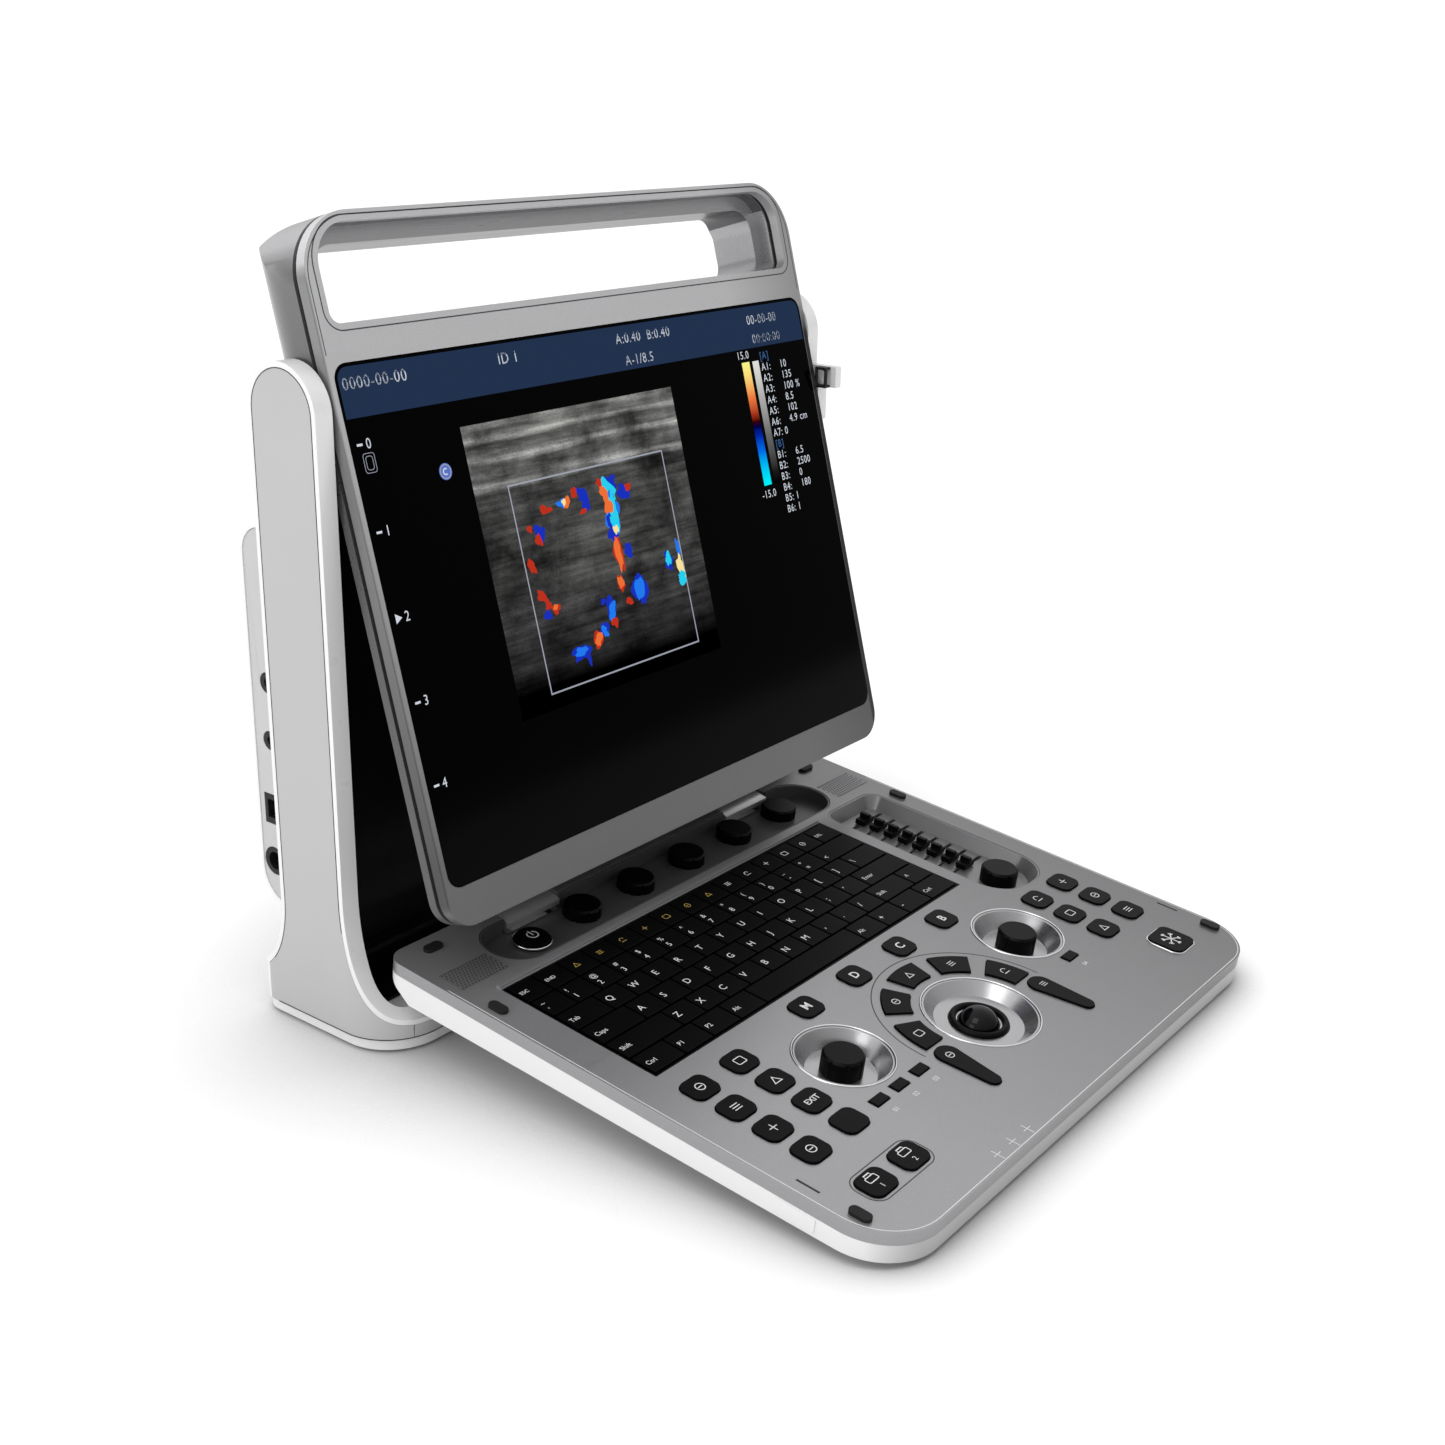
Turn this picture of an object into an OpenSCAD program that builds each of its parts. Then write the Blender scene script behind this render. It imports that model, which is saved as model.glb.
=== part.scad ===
// Portable laptop-style colour ultrasound scanner on a stand with two side wings.
// +Z up, the user sits towards -Y, origin on the floor at the middle of the base.

/* [Base] */
// Width over the two side wings
body_w = 348; // [344:1:356]
// Depth of the base from its front strip to its rear wall
base_d = 89.5; // [86:0.5:94]
// Height of the wing pivots above the floor
pivot_h = 283.5; // [278:0.5:292]
// Depth of one wing, front to rear, below its round top
wing_d = 36.6; // [34:0.2:39]
// Thickness of one wing
wing_t = 9; // [8:0.5:10]
// Width of the rear housing that holds the electronics
housing_w = 316; // [300:2:320]
// How far the rear housing reaches behind the origin
housing_rear = 56.3; // [54:0.1:60]

/* [Screen] */
// Lean of the screen from upright, when the console is down
screen_lean = 15.26; // [14:0.1:16]
// Width of the screen unit
screen_w = 327; // [322:1:327]
// Width of the front glass
glass_w = 320; // [312:1:320]
// Height of the front glass
glass_h = 222.3; // [216:0.1:224]
// Height of the handle above the glass
handle_h = 60.2; // [56:0.2:62]
// Depth of the handle, glass face to back
handle_d = 42; // [38:1:44]

/* [Console] */
// Slope of the console, down towards the user
console_slope = 6.37; // [6:0.01:6.4]
// Width of the console
console_w = 327.4; // [320:0.2:327.8]
// Length of the console in front of its hinge
console_l = 264.6; // [262:0.2:266]
// Thickness of the console at its hinge
console_t = 18; // [17.5:0.1:18]
// Diameter of the trackball
ball_d = 20; // [18:0.5:20]
// Width of one function key
key_w = 15; // [13:0.5:16]

/* [Hidden] */
$fn = 64;
eps = 0.01;

// Base
foot_h = 1.5;
plate_h = 7;
corner_r = 28;
rear_corner_r = 12;
inner_corner_r = 12;
skin_t = 1.5;
seam = 0.25;
wing_y = 2.75;
rim = 2.6;
lip_h = 13;
rear_h = 22;
front_y = -base_d / 2;
rear_y = base_d / 2;
wing_in = body_w / 2 - wing_t;
cover_end = 157.5;
deck_h = 12;
cover_y = 18.6;

// Rear housing and its contents
housing_y = 18;
housing_bottom = 45.5;
housing_top = 228;
back_top = 262;
wall_t = 2.5;
liner_t = 2;
liner_y = 14;
slot_z = [179.2, 205.7];
slot_y = 43.7;
slot_w = 0.8;
slot_h = 12.5;
jacks = [[44.4, 155, 5], [45.2, 127.3, 4.6], [47.4, 67.2, 7]];
net_y = 36;
net_z = 85.9;
net_w = 16;
net_h = 15;

// Cable loop on the right wing
hook_l = 16;
hook_y = wing_y - wing_d / 2 - rim - hook_l + eps;
hook_z = 256;

// Screen, in a frame with its origin on the pivot axis and its glass at -glass_off
glass_off = 20.6;
glass_bottom = -207.5;
frame_bottom = glass_bottom - 18;
frame_top = glass_bottom + glass_h + handle_h;
frame_t = 5;
gasket_t = 2.2;
shell_edge_t = 4.4;
gasket_y = -glass_off + frame_t;
shell_y = gasket_y + gasket_t;
shell_back = shell_y + shell_edge_t;
bulge_y = 3;
handle_y = handle_d - glass_off;
opening_bottom = glass_bottom + 238;
opening_top = glass_bottom + 278;
opening_w = 310;
pin_r = 4;
pin_fit = 0.05;
ear_r = 11;

// Console, in a frame with its origin on the top face straight above the hinge axis
hinge_y = -39.1;
hinge_z = 31;
axis_drop = 15;
console_rear = 8.4;
front_t = 14;
panel_t = 2;
band_t = 6;
floor_t = 2;
hinge_pin_r = 3;
knuckle_r = 6;
hinge_x = 83;
hinge_w = 36;
bracket_e = [-17, 14];
bracket_t = 3;
bracket_front = 2.6;
strip_w = 254;
strip_front = 38;
strip_rear = 3;
strip_depth = 7;
kb_x0 = -145.2;
kb_x1 = 95.4;
kb_s0 = 44.7;
kb_s1 = 132.5;
kb_rows = 6;
row_pitch = (kb_s1 - kb_s0) / kb_rows;
key_gap = 1.1;
gain_x = 126.3;
gain_w = 46.4;
gain_s0 = 41;
gain_s1 = 157;
slider_s0 = 54;
gain_knob_s = 138;
slider_pitch = 9.1;
knob_x0 = -61.5;
knob_pitch = 39.6;
knob_s = 17;
power_x = -98;
power_s = 19;
dial_x = 74.9;
dial_s = 177.5;
dial_dish_r = 22.2;
ball_s = 201;
ball_dish_r = 27;
ball_h = -8.5;
socket_gap = 0.3;
socket_r = 14;
stem_r = 3;
stem_l = 4;
power_r = 8;
key_d = 13.5;
fkey_x = [111.8, 138.4];
fkey_s0 = 150;
fkey_pitch = 18.55;
mode_s = 145;
arc_r0 = 32;
arc_r1 = 45;
arc_span = 27;

// ---- Shared shapes ----

// Rectangle with four round corners of one radius
module rounded(x0, y0, x1, y1, r) {
    translate([x0 + r, y0]) square([x1 - x0 - 2 * r, y1 - y0]);
    translate([x0, y0 + r]) square([x1 - x0, y1 - y0 - 2 * r]);
    for (x = [x0 + r, x1 - r], y = [y0 + r, y1 - r]) translate([x, y]) circle(r);
}

// Rectangle with one radius on its low-y corners and another on its high-y corners
module rounded2(x0, y0, x1, y1, r_low, r_high) {
    translate([x0 + r_low, y0]) square([x1 - x0 - 2 * r_low, y1 - y0 - r_high]);
    translate([x0, y0 + r_low]) square([x1 - x0, y1 - y0 - r_low - r_high]);
    translate([x0 + r_high, y0 + r_low]) square([x1 - x0 - 2 * r_high, y1 - y0 - r_low]);
    for (x = [x0 + r_low, x1 - r_low]) translate([x, y0 + r_low]) circle(r_low);
    for (x = [x0 + r_high, x1 - r_high]) translate([x, y1 - r_high]) circle(r_high);
}

// A side outline drawn as (y, z), extruded across X from x0 to x1
module across(x0, x1) {
    translate([x0, 0, 0]) rotate([90, 0, 90]) linear_extrude(x1 - x0) children();
}

// Children in the screen's own frame
module on_screen() {
    translate([0, wing_y, pivot_h]) rotate([-screen_lean, 0, 0]) children();
}

// Children in the console's own frame: -Y forward, top face at z = 0
module on_console() {
    translate([0, hinge_y, hinge_z]) rotate([console_slope, 0, 0])
        translate([0, 0, axis_drop]) children();
}

// Children on the console's top face, x to the right and s forward of the hinge
module at(x, s, h = 0) {
    on_console() translate([x, -s, h]) children();
}

// ---- Base ----

// Side outline of a wing with its flared foot, grown or shrunk by g
module wing_outline(g) {
    half = wing_d / 2 + g;
    front_flare = [for (t = [0:5:90])
        [front_y + (wing_y - half - front_y) * cos(t), 72 - (72 - lip_h - g) * sin(t)]];
    rear_flare = [for (t = [90:-5:0])
        [rear_y - (rear_y - wing_y - half) * cos(t), 62 - (62 - rear_h - g) * sin(t)]];
    polygon(concat([[front_y, 0]], [[rear_y, 0]], rear_flare,
        [[wing_y + half, pivot_h], [wing_y - half, pivot_h]], front_flare));
    translate([wing_y, pivot_h]) circle(half);
}

// Floor plan of the base, shrunk by g
module base_plan(g) {
    rounded2(-body_w / 2 + g, front_y + g, body_w / 2 - g, rear_y - g,
        corner_r - g, rear_corner_r - g);
}

// Floor plan of the space inside the base's walls, grown by g
module inner_plan(g) {
    rounded2(-wing_in - g, front_y + wing_t - g, wing_in + g, rear_y - wing_t + g,
        inner_corner_r + g, rear_corner_r - wing_t + g);
}

// Thin skin that the two grey covers and the front strip are cut from
module skin(x0, x1, g) {
    intersection() {
        translate([0, 0, plate_h]) linear_extrude(pivot_h + wing_d) difference() {
            base_plan(-eps);
            base_plan(skin_t);
        }
        across(x0, x1) intersection() {
            wing_outline(g);
            translate([front_y - 1, 0]) square([base_d - 8, pivot_h + wing_d]);
        }
    }
}

module foot_plate() {
    color("whitesmoke") difference() {
        translate([0, 0, foot_h]) linear_extrude(plate_h - foot_h) base_plan(1.2);
        translate([0, 0, foot_h + wall_t]) linear_extrude(plate_h) base_plan(6);
    }
}

module base_shell() {
    color("white") {
        // Block on the right wing that holds the cable loop
        translate([wing_in + 4, hook_y, hook_z]) cube([wing_t - 4, hook_l, 11]);
        translate([wing_in + 1, hook_y + 9, hook_z - 18]) cube([wing_t - 1, hook_l - 9, 18 + eps]);
        difference() {
            intersection() {
                translate([0, 0, plate_h]) linear_extrude(pivot_h + wing_d) difference() {
                    base_plan(0);
                    inner_plan(0);
                }
                across(-body_w / 2, body_w / 2) wing_outline(rim);
            }
            // Slots for the brackets of the console's hinge
            for (x = [-hinge_x, hinge_x], e = bracket_e)
                translate([x + e - 0.1, hinge_y - bracket_front - 0.1, deck_h])
                    cube([bracket_t + 0.2, 20, 30]);
            skin(-body_w / 2 - 1, -cover_end + seam, seam);
            skin(cover_end - seam, body_w / 2 + 1, seam);
            skin(-cover_end + seam - eps, cover_end - seam + eps, seam);
        }
        difference() {
            translate([0, 0, plate_h]) linear_extrude(deck_h - plate_h) inner_plan(eps);
            translate([-wing_in + 10, -10, 0]) cube([2 * wing_in - 20, rear_y - 16, 40]);
        }
        // Closed top of the base behind the housing
        intersection() {
            translate([0, 0, rear_h - 3]) linear_extrude(3) inner_plan(eps);
            translate([-body_w / 2, cover_y, 0]) cube([body_w, rear_y, 40]);
        }
    }
}

module side_cover(side) {
    color("lightgray") mirror([side > 0 ? 1 : 0, 0, 0]) difference() {
        skin(-body_w / 2 - 1, -cover_end, 0);
        translate([0, 0, 0]) linear_extrude(2 * pivot_h) difference() {
            base_plan(-1);
            base_plan(0);
        }
    }
}

module side_cover_left() {
    side_cover(-1);
}

module side_cover_right() {
    side_cover(1);
}

module front_strip() {
    color("silver") intersection() {
        skin(-cover_end + 2 * seam, cover_end - 2 * seam, 0);
        translate([-body_w / 2, front_y, 0]) cube([body_w, skin_t + 1, 40]);
    }
}

module well_liner() {
    x = wing_in - 0.3;
    color("#151515") across(-x, x) polygon([
        [-16, deck_h], [liner_y, deck_h], [liner_y, 32], [liner_y + 2, 32], [liner_y + 2, back_top],
        [liner_y, back_top], [liner_y, 62], [8, 50], [8, 33], [-1, 33], [-1, 30], [8, 30],
        [8, deck_h + liner_t], [-16, deck_h + liner_t]]);
}

// Side outline of the rear housing, shrunk by g
module housing_outline(g) {
    r_top = 14 - g;
    r_low = 18 - g;
    y1 = housing_rear - g;
    translate([housing_y - 2, housing_bottom + g]) square([y1 - housing_y + 2 - r_low,
        back_top - 20 - housing_bottom]);
    translate([housing_y - 2, housing_bottom + g + r_low]) square([y1 - housing_y + 2,
        housing_top - housing_bottom - 2 * g - r_low - r_top]);
    translate([housing_y - 2, housing_top - g - r_top - 1]) square([y1 - housing_y + 2 - r_top,
        r_top + 1]);
    translate([y1 - r_low, housing_bottom + g + r_low]) circle(r_low);
    translate([y1 - r_top, housing_top - g - r_top]) circle(r_top);
}

// Outline of the socket panel, shrunk by g
module panel_outline(g) {
    intersection() {
        housing_outline(1.4 + g);
        translate([24 + g, 0]) square([40, housing_top]);
    }
}

module rear_housing() {
    x = housing_w / 2;
    color("white") {
        difference() {
            across(-x, x) intersection() {
                housing_outline(0);
                square([200, housing_top]);
            }
            across(-x + wall_t, x - wall_t) intersection() {
                housing_outline(wall_t);
                translate([0, 0]) square([200, housing_top - wall_t]);
            }
            // Opening for the socket panel on the left
            across(-x - 1, -x + wall_t + 1) panel_outline(0);
            // Opening for the probe connector on the right
            translate([x - wall_t - 1, 24, 120]) cube([wall_t + 2, 25, 70]);
            // Cooling slots through the rear wall
            for (i = [0:13]) translate([-65 + 10 * i, housing_rear - wall_t - 1, 150])
                cube([5, wall_t + 2, 45]);
        }
        // Upper back between the wings
        translate([-wing_in + 0.5, liner_y + 2, housing_top])
            cube([2 * wing_in - 1, wall_t, back_top - housing_top]);
        // Cheeks that join the housing to the wings
        for (s = [-1, 1]) translate([s > 0 ? x - eps : -wing_in + 0.5, liner_y + 2, deck_h])
            cube([wing_in - 0.5 - x + eps, wall_t, housing_top - deck_h]);
        // Lower back wall down to the deck
        translate([-x, liner_y + 2, deck_h]) cube([2 * x, wall_t, housing_bottom - deck_h + 1]);
    }
}

module io_panel() {
    x = -housing_w / 2;
    color("gainsboro") difference() {
        across(x + 0.5, x + 2.5) panel_outline(0.1);
        for (z = slot_z) translate([x, slot_y, z]) cube([5, slot_w, slot_h]);
        for (p = jacks) translate([x, p[0], p[1]]) rotate([0, 90, 0]) cylinder(h = 6, r = p[2]);
        translate([x, net_y, net_z]) cube([5, net_w, net_h]);
    }
}

module io_ports() {
    x = -housing_w / 2 + 0.7;
    color("#202020") {
        for (z = slot_z) translate([x + 0.5, slot_y + 0.1, z + 0.1])
            cube([14, slot_w - 0.2, slot_h - 0.2]);
        for (p = jacks) translate([x, p[0], p[1]]) rotate([0, 90, 0]) difference() {
            union() {
                cylinder(h = 1.9, r = p[2] - 0.2);
                cylinder(h = 14, r = p[2] - 1.6);
            }
            translate([0, 0, -1]) cylinder(h = 9, r = p[2] - 2.6);
        }
        difference() {
            translate([x, net_y + 0.2, net_z + 0.2]) cube([16, net_w - 0.4, net_h - 0.4]);
            translate([x - 1, net_y + 2, net_z + 3]) cube([11, 12, 9]);
        }
    }
}

module probe_connector() {
    x = housing_w / 2 - wall_t;
    color("dimgray") difference() {
        translate([x - 20, 24.5, 120.5]) cube([20 + wall_t, 24, 69]);
        translate([x - 10, 28.5, 126]) cube([20, 16, 58]);
    }
}

module main_board() {
    color("darkgreen") translate([-140, 20, 92]) cube([270, 1.6, 125]);
    color("gray") {
        for (x = [-110, -30, 50]) translate([x, 21.6, 120]) cube([34, 9, 34]);
        translate([-120, 21.6, 185]) cube([220, 7, 12]);
    }
}

module battery_pack() {
    color("#2b2b2b") translate([-125, 22, 56]) cube([230, 20, 34]);
}

module fan_rotor() {
    color("black") translate([0, 40, 172]) rotate([90, 0, 0]) {
        cylinder(h = 8, r = 9);
        for (a = [0:40:320]) rotate([0, 0, a]) translate([8, -0.7, 1]) cube([11, 1.4, 6]);
    }
}

module rubber_feet() {
    color("#303030") {
        for (x = [-148, 148], y = [-30, 32]) translate([x, y, 0]) cylinder(h = foot_h, r = 8);
        cylinder(h = foot_h, r = 10);
    }
}

module hinge_hardware() {
    color("lightslategray") {
        for (s = [-1, 1]) translate([s > 0 ? wing_in - 13 : -wing_in, wing_y, pivot_h])
            rotate([0, 90, 0]) cylinder(h = 13, r = pin_r);
        for (x = [-hinge_x, hinge_x]) {
            translate([x - 14, hinge_y, hinge_z]) rotate([0, 90, 0])
                cylinder(h = 28, r = hinge_pin_r);
            for (e = bracket_e) translate([x + e, 0, 0]) across(0, bracket_t) {
                translate([hinge_y, hinge_z]) circle(5);
                translate([hinge_y - bracket_front, deck_h]) square([7.6, hinge_z - deck_h]);
            }
        }
    }
}

module cable_hook() {
    color("black") translate([wing_in - 0.9, hook_y + 3, hook_z]) difference() {
        cube([4.9, 7.5, 11]);
        translate([-1, 1.4, 1.4]) cube([8, 4.7, 8.2]);
        translate([1.8, -1, 1.4]) cube([8, 10, 8.2]);
    }
}

// ---- Screen ----

// Front outline of the screen unit as (x, z), shrunk by g
module screen_outline(g) {
    rounded2(-screen_w / 2 + g, frame_bottom + g, screen_w / 2 - g, frame_top - g,
        14 - g, 28 - g);
}

// Children drawn as (x, z), given a depth from y0 to y1
module upright(y0, y1) {
    translate([0, y1, 0]) rotate([90, 0, 0]) linear_extrude(y1 - y0) children();
}

module glass_outline(g) {
    rounded(-glass_w / 2 - g, glass_bottom - g, glass_w / 2 + g, glass_bottom + glass_h + g, 7 + g);
}

module front_opening(g) {
    rounded2(-opening_w / 2 + g, opening_bottom + g, opening_w / 2 - g, opening_top - g,
        5, 18 - g);
}

module screen_front_frame() {
    color("silver") on_screen() difference() {
        upright(-glass_off, gasket_y) screen_outline(0);
        upright(-glass_off - 1, -glass_off + 1.5) glass_outline(0.1);
        upright(-glass_off, gasket_y + 1) rounded(-156, glass_bottom + 14, 156,
            glass_bottom + glass_h - 4, 3);
        upright(-glass_off - 1, gasket_y + 1) front_opening(0);
    }
}

module screen_gasket() {
    color("#3a3a3a") on_screen() difference() {
        upright(gasket_y, shell_y) screen_outline(1.4);
        upright(gasket_y - 1, shell_y + 1) rounded(-157, glass_bottom - 8, 157,
            glass_bottom + glass_h + 4, 3);
        upright(gasket_y - 1, shell_y + 1) front_opening(-1);
    }
}

module screen_glass() {
    color("black") on_screen() upright(-glass_off, -glass_off + 1.4) glass_outline(0);
}

module lcd_panel() {
    color("#404448") on_screen() upright(-glass_off + 1.6, -glass_off + 7)
        rounded(-156 + 0.5, glass_bottom + 14.5, 155.5, glass_bottom + glass_h - 4.5, 2);
}

// Side outline of the rear shell as (y, z): thin behind the display, deep at the handle
module rear_profile() {
    polygon(concat(
        [[shell_y, frame_bottom], [shell_back, frame_bottom], [bulge_y, frame_bottom + 22],
            [bulge_y, -24]],
        [for (t = [0:5:90]) [handle_y - (handle_y - bulge_y) * cos(t), -24 + 34 * sin(t)]],
        [[handle_y, 38], [handle_y - 2, 52]],
        [for (t = [0:5:90]) [handle_y - 22 + 20 * cos(t), 52 + (frame_top - 52) * sin(t)]],
        [[shell_y, frame_top]]));
}

module screen_rear_shell() {
    color("silver") on_screen() difference() {
        intersection() {
            across(-screen_w / 2, screen_w / 2) rear_profile();
            upright(shell_y, handle_y + 1) screen_outline(0);
            translate([0, 0, frame_bottom]) linear_extrude(frame_top - frame_bottom)
                rounded2(-screen_w / 2, shell_y - 30, screen_w / 2, handle_y, 1, 28);
        }
        // Room for the display, and for the wiring behind it
        translate([-150, shell_y - 1, glass_bottom - 6]) cube([300, 6, glass_h + 6]);
        translate([-140, shell_y, glass_bottom + 20]) cube([280, bulge_y - 2 - shell_y, 150]);
        // Hollow of the shoulder under the handle
        across(-140, 140) polygon([[shell_y - 1, -38], [bulge_y - 2, -38], [bulge_y - 2, -24],
            [8, -4], [handle_y - 4, 12], [handle_y - 4, 23], [shell_y - 1, 23]]);
        // Grip opening
        upright(shell_y - 1, handle_y + 1) rounded(-148, opening_bottom - 3, 148,
            opening_top - 7, 12);
        upright(shell_y - 1, shell_y + 6) front_opening(0);
        // Sides narrowed beside the display, and bores on the pivot axis
        for (s = [-1, 1]) {
            translate([s > 0 ? 150 : -170, shell_back, frame_bottom - 1])
                cube([20, 60, -ear_r - frame_bottom - 9]);
            translate([s > 0 ? 140 : -170, 0, 0]) rotate([0, 90, 0])
                cylinder(h = 30, r = pin_r + pin_fit);
        }
    }
}

// ---- Console ----

// Plan of the console as (x, -s), shrunk by g
module console_plan(g) {
    rounded2(-console_w / 2 + g, -console_l + g, console_w / 2 - g, console_rear - g,
        28 - g, 9 - g);
}

module strip_plan(g) {
    rounded(-strip_w / 2 + g, -strip_front + g, strip_w / 2 - g, -strip_rear - g, 17 - g);
}

module gain_plan(g) {
    rounded2(gain_x - gain_w / 2 + g, -gain_s1 + g, gain_x + gain_w / 2 - g, -gain_s0 - g,
        20 - g, 9 - g);
}

// Outline of a function key, its centre at the origin
module key_plan(w, d, g = 0) {
    rounded(-w / 2 - g, -d / 2 - g, w / 2 + g, d / 2 + g, 4.2 + g);
}

// Places children at each mode key
module each_mode() {
    for (x = [-57, -19, 19, 57]) translate([x, -mode_s]) children();
}

// Places children at each key of the two side clusters
module each_function() {
    for (i = [0:3], x = fkey_x) translate([-x, -fkey_s0 - fkey_pitch * i]) children();
    for (i = [1:3], x = fkey_x) translate([x, -fkey_s0 + 0.5 - fkey_pitch * i]) children();
}

module each_print() {
    for (x = [-136.5, -113.4]) translate([x, -235]) children();
}

module each_soft() {
    for (x = [-90.4, -75.2, -59.7, 75]) translate([x, -206]) children();
}

// Outline of one arc key round the trackball, grown by g
module arc_plan(a, g) {
    rotate([0, 0, -a]) intersection() {
        difference() {
            circle(arc_r1 + g);
            circle(arc_r0 - g);
        }
        polygon([[0, 0], [-60 * sin(arc_span / 2) - 1.2 * g, 60], [60 * sin(arc_span / 2) + 1.2 * g,
            60]]);
    }
}

// Outline of one long key beside the trackball, grown by g
module long_plan(side, g) {
    translate([side * 41, 0]) {
        translate([0, -209]) circle(6 + g);
        translate([side * 1.5, -232]) circle(3.6 + g);
        polygon([[side * 1.5 - 3.6 - g, -232], [side * 1.5 + 3.6 + g, -232], [6 + g, -209],
            [-6 - g, -209]]);
    }
}

module arc_plans(g) {
    translate([0, -ball_s]) for (a = [-76, -38, 0, 38, 76]) arc_plan(a, g);
    for (s = [-1, 1]) long_plan(s, g);
}

// Everything that is cut through the top panel
module panel_cuts() {
    strip_plan(0);
    translate([kb_x0, -kb_s1]) square([kb_x1 - kb_x0, kb_s1 - kb_s0]);
    gain_plan(0);
    for (x = [-dial_x, dial_x]) translate([x, -dial_s]) circle(dial_dish_r);
    translate([0, -ball_s]) circle(ball_dish_r);
    each_mode() key_plan(key_w, key_d, 0.4);
    each_function() key_plan(key_w, key_d, 0.4);
    each_print() key_plan(key_w + 1, key_d, 0.4);
    each_soft() square([9.8, 5.8], center = true);
    arc_plans(0.4);
    translate([127.5, -234]) key_plan(18.5, 18.5, 0.4);
    for (s = [-1, 1]) translate([s > 0 ? 129 : -158, -34]) square([29, 15]);
    for (x = [-157, 158.5]) translate([x - 0.6, -223]) square([1.2, 11]);
    for (x = [-hinge_x, hinge_x]) translate([x - hinge_w / 2 - 0.5, -6]) square([hinge_w + 1, 20]);
}

module console_top_panel() {
    color("silver") on_console() {
        difference() {
            translate([0, 0, -band_t]) linear_extrude(band_t) console_plan(0);
            translate([0, 0, -band_t - 1]) linear_extrude(band_t + 1 - panel_t) console_plan(1.8);
            translate([0, 0, -panel_t - 1]) linear_extrude(panel_t + 2) panel_cuts();
            for (x = [-hinge_x, hinge_x]) translate([x - hinge_w / 2 - 0.5, -6, -band_t - 1])
                cube([hinge_w + 1, 20, band_t + 2]);
        }
        // Raised lip behind the keyboard
        translate([kb_x0, -kb_s0 + 0.6, 0]) cube([kb_x1 - kb_x0, 2.4, 0.9]);
    }
}

module console_lower_shell() {
    color("white") on_console() {
        difference() {
            intersection() {
                translate([0, 0, -console_t]) linear_extrude(console_t - band_t) console_plan(0);
                across(-console_w / 2, console_w / 2) polygon([[console_rear, -band_t],
                    [console_rear, -band_t - 1.5], [console_rear - 16, -console_t],
                    [-console_l, -front_t], [-console_l, -band_t]]);
            }
            intersection() {
                translate([0, 0, -console_t]) linear_extrude(console_t) console_plan(2.2);
                across(-console_w / 2, console_w / 2) polygon([[console_rear, 1],
                    [console_rear, -band_t + 1], [console_rear - 16, -console_t + floor_t],
                    [-console_l, -front_t + floor_t], [-console_l, 1]]);
            }
            // Hole that the trackball socket hangs through
            translate([0, -ball_s, -30]) cylinder(h = 25, r = socket_r - 1);
            // Wells that the hinge brackets stand in
            for (x = [-hinge_x, hinge_x]) translate([x - hinge_w / 2, -7, -console_t - 1])
                cube([hinge_w, 20, console_t]);
        }
        // Knuckles on the hinge pins
        for (x = [-hinge_x, hinge_x]) difference() {
            union() {
                translate([x - 12, 0, -axis_drop]) rotate([0, 90, 0]) cylinder(h = 24, r = knuckle_r);
                translate([x - 12, -11, -console_t + 1]) cube([24, 10, 8]);
            }
            translate([x - 20, 0, -axis_drop]) rotate([0, 90, 0])
                cylinder(h = 40, r = hinge_pin_r + pin_fit);
        }
        // Socket of the trackball
        translate([0, -ball_s, 0]) difference() {
            translate([0, 0, ball_h - ball_d / 2 - 1.7]) cylinder(h = ball_d / 2 + 4.8, r = socket_r - 0.3);
            translate([0, 0, ball_h]) sphere(d = ball_d + 2 * socket_gap);
        }
        // Socket cover on the left edge
        translate([-console_w / 2 - 0.5, -227, -12.5]) cube([3, 20, 6]);
    }
}

module knob_strip() {
    color("#6e6e70") on_console() difference() {
        translate([0, 0, -strip_depth - 1.2]) linear_extrude(strip_depth + 1) strip_plan(0.2);
        translate([0, 0, -strip_depth]) linear_extrude(strip_depth + 1) strip_plan(1.4);
        for (x = [-hinge_x, hinge_x]) translate([x - hinge_w / 2 - 0.5, -6, -strip_depth - 2])
            cube([hinge_w + 1, 20, strip_depth + 3]);
        for (i = [0:4]) translate([knob_x0 + knob_pitch * i, -knob_s, 0]) stem_hole();
        translate([power_x, -power_s, -20]) cylinder(h = 20, r = power_r + 0.2);
    }
}

module speaker_grilles() {
    color("gray") on_console() for (s = [-1, 1])
        translate([s > 0 ? 129.2 : -157.8, -33.8, -1.6]) cube([28.6, 14.6, 1.5]);
}

module hinge_covers() {
    r = axis_drop - 1;
    color("silver") on_console() for (x = [-hinge_x, hinge_x])
        translate([x, 0, -axis_drop]) across(-hinge_w / 2 + 0.3, hinge_w / 2 - 0.3) intersection() {
            difference() {
                circle(r);
                circle(r - 2.5);
            }
            translate([-5.7, 8]) square([14, r]);
        }
}

module keyboard_tray() {
    color("#101010") on_console() difference() {
        translate([kb_x0 + 0.15, -kb_s1 + 0.15, -6]) cube([kb_x1 - kb_x0 - 0.3,
            kb_s1 - kb_s0 - 0.3, 5.6]);
        translate([kb_x0 + 1.3, -kb_s1 + 1.3, -5]) cube([kb_x1 - kb_x0 - 2.6,
            kb_s1 - kb_s0 - 2.6, 6]);
    }
}

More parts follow.
